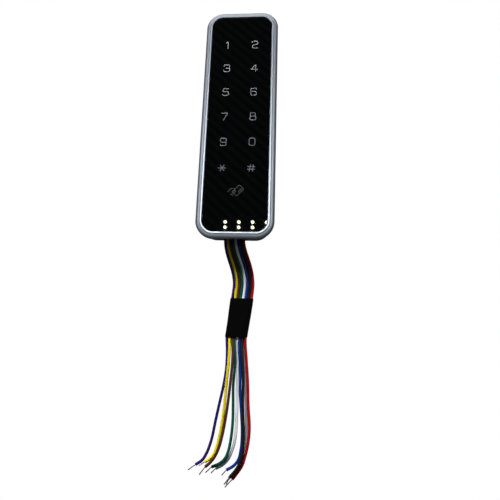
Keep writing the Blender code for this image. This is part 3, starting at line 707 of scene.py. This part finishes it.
def build_core(name, start, tip):
    """Seven tinned strands, lightly twisted, that stand out of the insulation."""
    run = tip - start
    along = run.normalized()
    side = along.cross(Vector((0.0, 1.0, 0.0))).normalized()
    other = along.cross(side)
    strand_d = CORE_D / 3.0
    lines = []
    for strand in range(7):
        reach = 0.0 if strand == 0 else strand_d * 0.98
        points = []
        for index in range(CORE_STEPS + 1):
            share = index / CORE_STEPS
            turn = math.radians(60.0 * strand + CORE_TWIST * share)
            sag = 0.24 * share * (1.0 - share)
            fray = 1.0 + 0.25 * share * share
            points.append(start + run * share + Vector((0.0, 0.0, sag))
                          + (side * math.cos(turn) + other * math.sin(turn)) * reach * fray)
        lines.append(round_line(f"strand_{strand}", points, strand_d, 1, 2))
    return join_lines(name, lines)


def build_leads():
    """Nine loose leads with their bared, tinned ends."""
    made = []
    for name in WIRE_NAMES:
        route = lead_route(name)
        points = smooth_points(route, LEAD_STEP)
        lead = round_line(f"lead_{name}", points, WIRE_D, 6)
        end = points[-1]
        away = (Vector(TIPS[name]) - end).normalized()
        core = build_core(f"bared_core_{name}", end - away * 0.5, Vector(TIPS[name]))
        finish(lead, f"wire_{name}", stands_for=[f"wire_{name}"])
        finish(core, "tinned_copper", stands_for=[f"core_{name}"])
        made += [lead, core]
    return made


# ------------------------------------------------------------ outer pieces

FRAME_SIZE = (50.0, 165.0)
FRAME_Y = (-16.26, -14.6)
FRAME_ROUND = 11.7
FRAME_WELL = 2.4
# Frame's front, from its side inwards: run towards the middle and drop (minus rises).
FRAME_STEPS = (
    (0.05, -0.26), (0.10, -0.24), (0.17, -0.22), (0.26, -0.20),
    (0.37, -0.18), (0.47, -0.16), (0.56, -0.14), (0.62, -0.12),
    (0.20, -0.08), (0.16, -0.10), (0.14, -0.04), (0.50, 0.0), (0.24, 0.0), (0.16, 0.10),
)
FRAME_BACK_STEPS = ((0.1, -0.8), (0.3, -1.04), (5.6, 0.0))
WINDOW_SIZE = (41.4, 156.4)
WINDOW_DEPTH = 1.2
WINDOW_ROUND = 7.4
WINDOW_CHAMFER = 0.12


def build_frame():
    """Frame round the panel: rounded side, convex slope, raised bright lip."""
    ring = rounded_plate("bright_frame", *FRAME_SIZE, FRAME_Y, FRAME_ROUND, 20)
    choose(ring, "FACE", lambda face: facing(face, 1, -1))
    for run, drop in FRAME_STEPS:
        inset(run, drop)
    push((0.0, FRAME_WELL, 0.0))
    inset(2.0, 0.0)
    bpy.ops.mesh.delete(type="FACE")
    settle()
    choose(ring, "FACE", lambda face: facing(face, 1, 1) and face.calc_area() > 1.0e-3)
    for run, drop in FRAME_BACK_STEPS:
        inset(run, drop)
    bpy.ops.mesh.delete(type="FACE")
    settle()
    choose(ring, "EDGE", lambda edge: edge.is_boundary)
    bpy.ops.mesh.bridge_edge_loops()
    settle()
    return finish(ring, "satin_silver", stands_for=["bezel_frame"], angle=24.0)


def build_window():
    """Smoked front window with a fine chamfer."""
    depth = (PANEL_FACE_Y + WINDOW_CHAMFER, PANEL_FACE_Y + WINDOW_DEPTH)
    window = rounded_plate("smoked_window", *WINDOW_SIZE, depth, WINDOW_ROUND, 20)
    choose(window, "FACE", lambda face: facing(face, 1, -1))
    for run, drop in ((0.04, -0.06), (0.05, -0.04), (0.07, -0.02), (0.15, 0.0), (0.6, 0.0)):
        inset(run, drop)
    settle()
    return finish(window, "smoked_panel", stands_for=["front_panel"], angle=50.0)


def fillet(points, radius, closed):
    """Rounds a line's corners, with a few points on each."""
    result = []
    count = len(points)
    for index, corner in enumerate(points):
        if not closed and index in (0, count - 1):
            result.append(Vector(corner))
            continue
        here = Vector(corner)
        before = Vector(points[index - 1])
        after = Vector(points[(index + 1) % count])
        reach = min(radius, (before - here).length * 0.48, (after - here).length * 0.48)
        start = here + (before - here).normalized() * reach
        end = here + (after - here).normalized() * reach
        for part in range(7):
            t = part / 6.0
            result.append(start * (1 - t) ** 2 + here * 2 * t * (1 - t) + end * t ** 2)
    return result


def draw_sign(name, strokes, place, width, radius, thickness=0.03, material="legend_ink"):
    """A sign of flat inked strokes on the window."""
    lines = []
    for number, (points, closed) in enumerate(strokes):
        line = start_line(f"{name}_stroke_{number}")
        line.data.splines.clear()
        path = fillet(points, radius, closed)
        spline = line.data.splines.new("POLY")
        spline.points.add(len(path) - 1)
        for knot, (x, z) in zip(spline.points, path):
            knot.co = ((place[0] + x) * MM, PANEL_FACE_Y * MM, (place[1] + z) * MM, 1.0)
        spline.use_cyclic_u = closed
        line.data.bevel_depth = width * MM / 2.0
        line.data.bevel_resolution = 3
        lines.append(line)
    sign = join_lines(name, lines)
    bpy.ops.object.mode_set(mode="EDIT")
    bpy.ops.mesh.select_all(action="SELECT")
    bpy.ops.transform.resize(value=(1.0, thickness / (width / 2.0), 1.0),
                             center_override=(place[0] * MM, PANEL_FACE_Y * MM, place[1] * MM))
    bpy.ops.mesh.normals_make_consistent(inside=False)
    settle()
    return finish(sign, "smoked_panel", material=material, angle=50.0)


# Half the width and half the height of a digit, to the middle of its strokes.
W, H = 1.9, 2.62
SIGN_STROKE, SIGN_BEND = 0.48, 1.35
CARD_STROKE, CARD_BEND = 0.26, 0.7

# Strokes of each sign about its middle, and whether each stroke is closed.
SIGNS = {
    "1": [([(-1.35, 1.45), (0.15, 2.75), (0.15, -2.9)], False)],
    "2": [([(-W, 1.7), (-W, H), (W, H), (W, 0.25), (-W, -0.4), (-W, -H), (2.15, -H)], False)],
    "3": [([(-W, 1.3), (-W, H), (W, H), (W, 0.05), (-0.8, 0.05)], False),
          ([(0.6, 0.05), (W + 0.1, 0.05), (W + 0.1, -H), (-W - 0.1, -H), (-W - 0.1, -1.2)],
           False)],
    "4": [([(0.95, -2.9), (0.95, H), (-2.3, -1.2), (2.3, -1.2)], False)],
    "5": [([(2.05, H), (-1.6, H)], False), ([(-1.6, H), (-1.85, 0.4)], False),
          ([(-1.85, 0.4), (W, 0.4), (W, -H), (-W - 0.1, -H), (-W - 0.1, -1.25)], False)],
    "6": [([(W, 1.4), (W, H), (-W, H), (-W, -H), (W, -H), (W, 0.25), (-W, 0.25)], False)],
    "7": [([(-2.2, H), (2.05, H), (-0.75, -2.9)], False)],
    "8": [([(-W + 0.15, 0.15), (-W + 0.15, H), (W - 0.15, H), (W - 0.15, 0.15)], True),
          ([(-W - 0.1, 0.15), (-W - 0.1, -H), (W + 0.1, -H), (W + 0.1, 0.15)], True)],
    "9": [([(-W, -1.4), (-W, -H), (W, -H), (W, H), (-W, H), (-W, -0.25), (W, -0.25)], False)],
    "0": [([(-W, -H), (-W, H), (W, H), (W, -H)], True)],
    "star": [([(-2.5, 0.0), (2.5, 0.0)], False), ([(-1.35, -2.1), (1.35, 2.1)], False),
             ([(-1.35, 2.1), (1.35, -2.1)], False)],
    "hash": [([(-1.3, -2.5), (-0.5, 2.5)], False), ([(0.7, -2.5), (1.5, 2.5)], False),
             ([(-2.35, 0.95), (2.55, 0.95)], False), ([(-2.55, -0.95), (2.35, -0.95)], False)],
}
SIGN_ROUND = {"1": 0.2, "4": 0.25, "7": 0.45, "star": 0.1, "hash": 0.1}


def build_signs():
    made = []
    rows = (("1", "2"), ("3", "4"), ("5", "6"), ("7", "8"), ("9", "0"), ("star", "hash"))
    for row, pair in enumerate(rows):
        for side, label in zip((-1, 1), pair):
            place = (COLUMN_MIDDLE + side * COLUMN_X, ROW_TOP - row * ROW_PITCH)
            made.append(draw_sign(f"sign_{label}", SIGNS[label], place, SIGN_STROKE,
                                  SIGN_ROUND.get(label, SIGN_BEND)))
    return made


def turned_45(points, middle):
    """Points of a card turned an eighth of a turn about its middle."""
    s = math.sqrt(0.5)
    return [(middle[0] + (x - z) * s, middle[1] + (x + z) * s) for x, z in points]


def build_card_sign():
    """Plain pictogram: a hand offering a card."""
    middle = (1.35, 0.15)
    card = turned_45([(-3.3, -2.05), (3.3, -2.05), (3.3, 2.05), (-3.3, 2.05)], middle)
    marks = [turned_45([(x, -1.35), (x + 0.75, -1.35)], middle) for x in (-0.6, 0.7, 2.0)]
    chip = turned_45([(-0.6, -0.55), (2.6, -0.55)], middle)
    hand = [
        ([(-5.3, -0.9), (-3.2, 1.6), (-1.2, 1.75), (-0.3, 0.6), (-1.6, 0.1)], False),
        ([(-1.6, 0.1), (0.1, -0.3), (-0.4, -1.0), (-2.0, -1.0)], False),
        ([(-3.6, -2.7), (-2.6, -2.2), (-1.9, -3.1)], False),
    ]
    return draw_sign("sign_card", [(card, True)] + [(mark, False) for mark in marks]
                     + [(chip, False)] + hand, ICON_PLACE, CARD_STROKE, CARD_BEND,
                     0.02, "icon_ink")


SLEEVE_WIDE, SLEEVE_DEEP = 7.31, 2.1
SLEEVE_MIDDLE_Y = -4.3
SLEEVE_WALL = 0.3
SLEEVE_STEPS = 22
SLEEVE_BOW = 0.10
RIB_HEIGHT = 0.07


def build_sleeve():
    """Shrink sleeve that grips the flat bundle, ribbed faintly by the leads."""
    top, low = Vector(BUNDLE[SLEEVE_TOP]), Vector(BUNDLE[SLEEVE_LOW])
    run = low - top
    settle()
    bpy.ops.mesh.primitive_circle_add(vertices=96, radius=1.0,
                                      location=(top.x * MM, SLEEVE_MIDDLE_Y * MM, top.z * MM))
    for vert in bpy.context.object.data.vertices:
        angle = math.atan2(vert.co.y, vert.co.x)
        c, s = math.cos(angle), math.sin(angle)
        flat_x = math.copysign(abs(c) ** 0.36, c) * SLEEVE_WIDE
        flat_y = math.copysign(abs(s) ** 0.62, s) * SLEEVE_DEEP
        if s < 0.0:
            flat_y += RIB_HEIGHT * math.cos(2.0 * math.pi * flat_x / PITCH_TOP + math.pi)
        vert.co = (flat_x * MM, flat_y * MM, 0.0)
    sleeve = keep("shrink_sleeve")
    choose(sleeve, "VERT", lambda vert: True)
    for step in range(SLEEVE_STEPS):
        share = (step + 1) / SLEEVE_STEPS
        bow = (SLEEVE_BOW * math.sin(math.pi * share)
               - SLEEVE_BOW * math.sin(math.pi * step / SLEEVE_STEPS))
        push((run.x / SLEEVE_STEPS + bow, 0.0, run.z / SLEEVE_STEPS))
        here = top + run * share
        squeeze = 0.997 + 0.0016 * math.sin(9.0 * share)
        bpy.ops.transform.resize(value=(squeeze, 1.0 + 0.004 * math.cos(12.0 * share), 1.0),
                                 center_override=(here.x * MM, SLEEVE_MIDDLE_Y * MM, here.z * MM))
    bpy.ops.mesh.select_all(action="SELECT")
    bpy.ops.mesh.normals_make_consistent(inside=False)
    settle()
    wall = sleeve.modifiers.new("wall", "SOLIDIFY")
    wall.thickness = SLEEVE_WALL * MM
    wall.offset = -1.0
    apply_modifier(sleeve, wall)
    soften(sleeve, 0.12, 2, 50.0)
    return finish(sleeve, "sleeve_black", stands_for=["wire_sleeve"], angle=50.0)


# --------------------------------------------------------- case and bracket

CASE_FRONT, CASE_BACK = (48.4, 163.4), (45.2, 159.8)
CASE_Y = (-12.44, -0.4)
CASE_ROUND = 10.9
CASE_WALL = 1.9
POCKET_SIZE, POCKET_ROUND = (38.6, 150.0), 5.0
FLOOR_Y = (-5.0, -2.2)
SCREW_X, SCREW_Z = 18.0, 73.2
BOARD_POSTS = ((-14.0, 54.0), (14.0, -44.0))
FIXING_Z = 41.65
TAMPER_Z = 30.0
BRACKET_WIDTH, BRACKET_Z, SHEET_Y = 36.0, (-70.0, 68.8), (-1.6, 0.0)
HOOK_X = 11.0
TAB_X, TAB_Z = 12.6, -65.6
LOCK_Y = -8.6
GROMMET_WIDTH, FLANGE_WIDTH, LEAD_SLOT_WIDTH, MOUTH_WIDTH = 16.3, 17.4, 15.0, 16.9


def tapered(name, front, back, y, radius, segments=14):
    """A rounded plate whose back is smaller than its front."""
    piece = rounded_plate(name, *front, y, radius, segments)
    choose(piece, "VERT", lambda vert: vert.co.y > MM * sum(y) / 2.0)
    bpy.ops.transform.resize(value=(back[0] / front[0], 1.0, back[1] / front[1]),
                             center_override=(0.0, 0.0, 0.0))
    settle()
    return piece


def pin(name, radius, y, x, z, sides=32):
    """A rod along Y between two depths."""
    return disc_rod(name, radius, (x, (y[0] + y[1]) / 2.0, z), y[1] - y[0], "Y", sides)


def screw_corners():
    return [(x * SCREW_X, z * SCREW_Z) for z in (1, -1) for x in (-1, 1)]


def build_case():
    """Tapered rear tray: rounded back edge, pocket, slots, bores and posts."""
    case = tapered("rear_case", CASE_FRONT, CASE_BACK, CASE_Y, CASE_ROUND, 18)
    round_edges(case, lambda edge: min(v.co.y for v in edge.verts) > MM * (CASE_Y[1] - 0.05),
                1.0, 5)
    inner = [size - 2.0 * CASE_WALL for size in CASE_FRONT]
    inner_back = [size - 1.6 for size in inner]
    carve(case, tapered("board_room", inner, inner_back, (CASE_Y[0] - 1.0, FLOOR_Y[0]),
                        CASE_ROUND - CASE_WALL),
          rounded_plate("bracket_pocket", *POCKET_SIZE, (FLOOR_Y[1], 1.0), POCKET_ROUND, 8))
    posts = [pin("post", 2.3, (-9.0, FLOOR_Y[0] + 1.0), x, z) for x, z in screw_corners()]
    posts += [pin("post", 2.5, (-8.5, FLOOR_Y[0] + 1.0), x, z) for x, z in BOARD_POSTS]
    posts.append(disc_rod("lock_post", 3.4, (TAB_X, LOCK_Y, -77.85), 3.7, "Z"))
    carve(case, *posts, operation="UNION")
    through = (FLOOR_Y[0] - 1.0, FLOOR_Y[1] + 1.0)
    holes = []
    for x, z in screw_corners():
        holes += [pin("bore", 1.3, (-10.0, 1.0), x, z), pin("seat", 2.3, (-3.8, 1.0), x, z)]
    for x, z in BOARD_POSTS:
        holes.append(pin("pilot", 1.3, (-9.8, -5.3), x, z))
    for side in (-1, 1):
        holes.append(block("hook_slot", around(side * HOOK_X, 3.6), through, (64.4, 69.1)))
        holes.append(pin("recess", 6.2, (-4.1, 0.0), 0.0, side * FIXING_Z, 48))
    mouth = block("lead_mouth", half(MOUTH_WIDTH), (-10.1, -4.1), (-84.0, -76.5))
    round_corners(mouth, 2, 2.0, 6)
    holes += [block("tab_slot", around(TAB_X, 3.9), through, (-68.2, -62.8)),
              block("tamper_hole", half(7.8), through, around(TAMPER_Z, 3.9)),
              disc_rod("lock_bore", 1.8, (TAB_X, LOCK_Y, -78.5), 7.0, "Z"),
              disc_rod("lock_seat", 3.0, (TAB_X, LOCK_Y, -80.8), 4.4, "Z"), mouth]
    carve(case, *holes)
    soften(case, 0.14, 2, 50.0)
    return finish(case, "case_black", stands_for=["rear_housing"], flat_faces=True)


def build_bracket():
    """Sheet bracket: two hooks turned up, a slotted lock tab, fixing slots, a window."""
    sheet = block("hanging_bracket", half(BRACKET_WIDTH), SHEET_Y, BRACKET_Z)
    round_corners(sheet, 1, 4.0, 10)
    arms = []
    for side in (-1, 1):
        arm = block("hook", around(side * HOOK_X, 3.0), (-7.1, -0.8), (67.2, 68.7))
        tip = block("hook_tip", around(side * HOOK_X, 3.0), (-7.1, -5.6), (67.2, 71.4))
        round_corners(tip, 1, 0.9, 5)
        carve(arm, tip, operation="UNION")
        arms.append(arm)
    tab = block("lock_tab", around(TAB_X, 3.2), (-11.4, -0.8), around(TAB_Z, 0.8))
    slot = block("lock_slot", around(TAB_X, 1.9), (-15.4, -6.7), around(TAB_Z, 1.6))
    round_corners(slot, 2, 1.8, 8)
    carve(tab, slot)
    carve(sheet, *arms, tab, operation="UNION")
    openings = [pin("tamper_window", 5.2, (-3.2, 1.6), 0.0, TAMPER_Z, 48)]
    for side in (-1, 1):
        slot = block("fixing_slot", half(5.2), (-3.2, 1.6), around(side * FIXING_Z, 5.5))
        round_corners(slot, 1, 2.55, 10)
        openings.append(slot)
    carve(sheet, *openings)
    soften(sheet, 0.22, 3, 50.0)
    return finish(sheet, "zinc_steel", "bracket", stands_for=["wall_bracket"],
                  flat_faces=True)


def build_screw(name, node, place, toward, head, shank):
    """A cheese-head screw with a cross recess; its head's underside is at its place.

    The pairs head and shank are a radius and a length.
    """
    axis = "XYZ".index(toward[1])
    sign = -1.0 if toward[0] == "-" else 1.0

    def rod_at(label, size, start, length, sides):
        middle = list(place)
        middle[axis] += sign * (start + length / 2.0)
        return disc_rod(label, size, middle, length, toward[1], sides)

    screw = rod_at(name, head[0], 0.0, head[1], 48)
    round_edges(screw, lambda edge: min((v.co[axis] - place[axis] * MM) * sign
                                        for v in edge.verts) > 0.5 * head[1] * MM, 0.35, 4)
    carve(screw, rod_at("shank", shank[0], -shank[1], shank[1] + 0.3, 32), operation="UNION")
    for across in [other for other in range(3) if other != axis]:
        reach = [around(value, 0.26) for value in place]
        reach[across] = around(place[across], head[0] * 0.62)
        top = place[axis] + sign * head[1]
        reach[axis] = around(top, head[1] * 0.62)
        carve(screw, block("cross_arm", *reach))
    soften(screw, 0.05, 2, 50.0)
    return finish(screw, "screw_steel", stands_for=[node], flat_faces=True)


def build_screws():
    made = []
    for x, z in screw_corners():
        label = f"{'upper' if z > 0 else 'lower'}_{'right' if x > 0 else 'left'}"
        made.append(build_screw(f"cross_screw_{label}", f"case_screw_{label}", (x, -3.5, z),
                                "+Y", (2.0, 1.2), (1.0, 10.1)))
    made.append(build_screw("cross_lock_screw", "lock_screw", (TAB_X, LOCK_Y, -78.9), "-Z",
                            (2.7, 1.4), (1.5, 16.4)))
    return made


def build_grommet():
    """Soft grommet with a flange, and a long slot the leads leave by."""
    body = block("lead_grommet", half(GROMMET_WIDTH), (-9.8, -4.4), (-79.8, -76.9))
    round_corners(body, 2, 1.6, 8)
    flange = block("flange", half(FLANGE_WIDTH), (-10.6, -5.3), (-77.9, -76.9))
    round_corners(flange, 2, 1.8, 8)
    carve(body, flange, operation="UNION")
    slot = block("lead_slot", half(LEAD_SLOT_WIDTH), (-8.75, -4.95), (-83.0, -75.0))
    round_corners(slot, 2, 0.8, 6)
    carve(body, slot)
    soften(body, 0.2, 3, 50.0)
    return finish(body, "grommet_rubber", stands_for=["cable_grommet"], flat_faces=True)


def build_plunger():
    """White tamper plunger with a domed nose and a flange inside its switch."""
    plunger = pin("domed_plunger", 1.25, (-3.9, 0.0), 0.0, TAMPER_Z, 48)
    round_edges(plunger, lambda edge: min(v.co.y for v in edge.verts) > -0.1 * MM, 0.5, 6)
    carve(plunger, pin("flange", 2.3, (-4.4, -3.8), 0.0, TAMPER_Z, 48), operation="UNION")
    soften(plunger, 0.06, 2, 50.0)
    return finish(plunger, "plunger_white", "tamper", stands_for=["tamper_plunger"],
                  flat_faces=True)


# ------------------------------------------------------------------ studio

def area_light(name, place, aim, size, power, colour=(1.0, 1.0, 1.0), shape="RECTANGLE"):
    settle()
    bpy.ops.object.light_add(type="AREA", location=place)
    light = bpy.context.object
    light.name = name
    light.data.shape = shape
    light.data.size = size[0]
    if shape == "RECTANGLE":
        light.data.size_y = size[1]
    light.data.energy = power
    light.data.color = colour
    light.rotation_euler = (Vector(aim) - Vector(place)).to_track_quat("-Z", "Y").to_euler()
    light.visible_camera = False
    return light


LAMP_CORNER = Vector((-0.1471, -1.018, 0.2285))
LAMP_COLUMNS, LAMP_ROWS = 5, 4
LAMP_STEP_X, LAMP_STEP_Z = 0.0447, -0.0177
LAMP_AIM = (0.0, 0.0, -0.07)
LAMP_D, LAMP_POWER = 0.0102, 0.013
LAMP_COLOUR = (1.0, 1.0, 0.70)


def set_lamp_cluster():
    """Small round lamps in rows, above and in front of the reader."""
    for column in range(LAMP_COLUMNS):
        for row in range(LAMP_ROWS):
            place = LAMP_CORNER + Vector((column * LAMP_STEP_X, 0.0, row * LAMP_STEP_Z))
            area_light(f"lamp_{column}_{row}", place, LAMP_AIM, (LAMP_D,), LAMP_POWER,
                       LAMP_COLOUR, "DISK")


def light_only(light, pieces):
    """Keeps a light for a few pieces alone."""
    lit = bpy.data.collections.new(f"{light.name}_pieces")
    for piece in pieces:
        lit.objects.link(piece)
    light.light_linking.receiver_collection = lit


def bump_of(tree, value, rise, fall, height):
    """Grows from 0 to a height over the pair rise and is gone after the pair fall."""
    return reckon(tree, "MULTIPLY", ramp(tree, value, rise, 0.0, height),
                  ramp(tree, value, fall, 1.0, 0.0))


DIM_LEVEL = 0.018


def set_surroundings():
    """White to the camera; otherwise dark, with soft light above, behind and beside."""
    world = bpy.data.worlds.new("studio")
    bpy.context.scene.world = world
    world.use_nodes = True
    tree = world.node_tree
    tree.nodes.clear()
    direction = add_node(tree, "TexCoord").outputs["Generated"]
    parts = add_node(tree, "SeparateXYZ", {0: direction}).outputs
    square = reckon(tree, "MULTIPLY", parts[0], parts[0])
    total = DIM_LEVEL
    for glow in (bump_of(tree, parts[2], (0.70, 0.98), (1.5, 2.0), 0.12),
                 bump_of(tree, parts[1], (0.20, 0.50), (0.66, 0.82), 0.04),
                 bump_of(tree, square, (0.45, 1.0), (1.5, 2.0), 0.04)):
        total = reckon(tree, "ADD", glow, total)
    dim = add_node(tree, "Background", {0: (0.93, 0.96, 1.0, 1.0), 1: total})
    seen = add_node(tree, "Background", {0: (1.0, 1.0, 1.0, 1.0), 1: 1.0})
    ray = add_node(tree, "LightPath").outputs["Is Camera Ray"]
    mix = add_node(tree, "MixShader", {0: ray, 1: dim.outputs[0], 2: seen.outputs[0]})
    add_node(tree, "OutputWorld", {0: mix.outputs[0]})


def set_studio(ring, bright, shell):
    """Softboxes, each with its place, aim, size, power and the pieces it is kept for."""
    softboxes = (
        ("overhead", (-0.12, -0.50, 1.05), (0.0, 0.0, -0.10), (0.95, 0.50), 1.9, None),
        ("key", (-0.12, -0.50, 1.05), (0.0, 0.0, -0.10), (0.70, 0.24), 36.0, bright),
        ("left", (-0.36, -0.85, 0.30), (0.0, 0.0, -0.02), (0.30, 0.40), 1.25, [ring]),
        ("right", (0.17, -0.91, 0.30), (0.0, 0.0, -0.02), (0.30, 0.40), 1.25, [ring]),
        ("low", (-0.15, -1.15, 0.26), (0.0, 0.0, -0.08), (0.70, 0.30), 2.6, [ring]),
        ("back", (0.30, 0.62, 1.10), (0.0, 0.0, -0.05), (0.60, 0.60), 7.0, shell),
        ("low_back", (0.75, 0.70, 0.25), (0.0, 0.0, -0.10), (0.50, 0.50), 1.0, shell),
        ("side", (1.05, -0.20, 0.35), (0.0, 0.0, -0.10), (0.50, 0.50), 2.5, shell),
    )
    for name, place, aim, size, power, pieces in softboxes:
        light = area_light(f"{name}_softbox", place, aim, size, power)
        if pieces:
            light_only(light, pieces)
    set_lamp_cluster()
    set_surroundings()
    bpy.context.scene.view_settings.view_transform = "Standard"


def set_floor():
    """Plain pale floor just under the leads' ends."""
    settle()
    level = CAD_BOX[0].z - 0.0012
    bpy.ops.mesh.primitive_plane_add(size=8.0, location=(0.0, 0.0, level))
    floor = named("pale_floor")
    material = bpy.data.materials.new("pale_floor")
    material.use_nodes = True
    tree = material.node_tree
    shader = tree.nodes["Principled BSDF"]
    shader.inputs["Roughness"].default_value = 0.9
    shader.inputs["Base Color"].default_value = (0.28, 0.285, 0.30, 1.0)
    glow = add_node(tree, "Emission", {0: (1.0, 1.0, 1.0, 1.0), 1: 1.0})
    ray = add_node(tree, "LightPath").outputs["Is Camera Ray"]
    mix = add_node(tree, "MixShader", {0: ray, 1: shader.outputs[0],
                                                 2: glow.outputs[0]})
    tree.links.new(mix.outputs[0], tree.nodes["Material Output"].inputs[0])
    floor.data.materials.append(material)


renew_model_finishes()
set_camera()
LEADS = build_leads()
RING = build_frame()
build_window()
SIGN_PIECES = [*build_signs(), build_card_sign()]
build_sleeve()
SHELL = [build_case(), build_bracket(), build_grommet(), build_plunger(), *build_screws()]
set_floor()
set_studio(RING, [*LEADS, *SIGN_PIECES], [*LEADS, *SHELL])

settle()
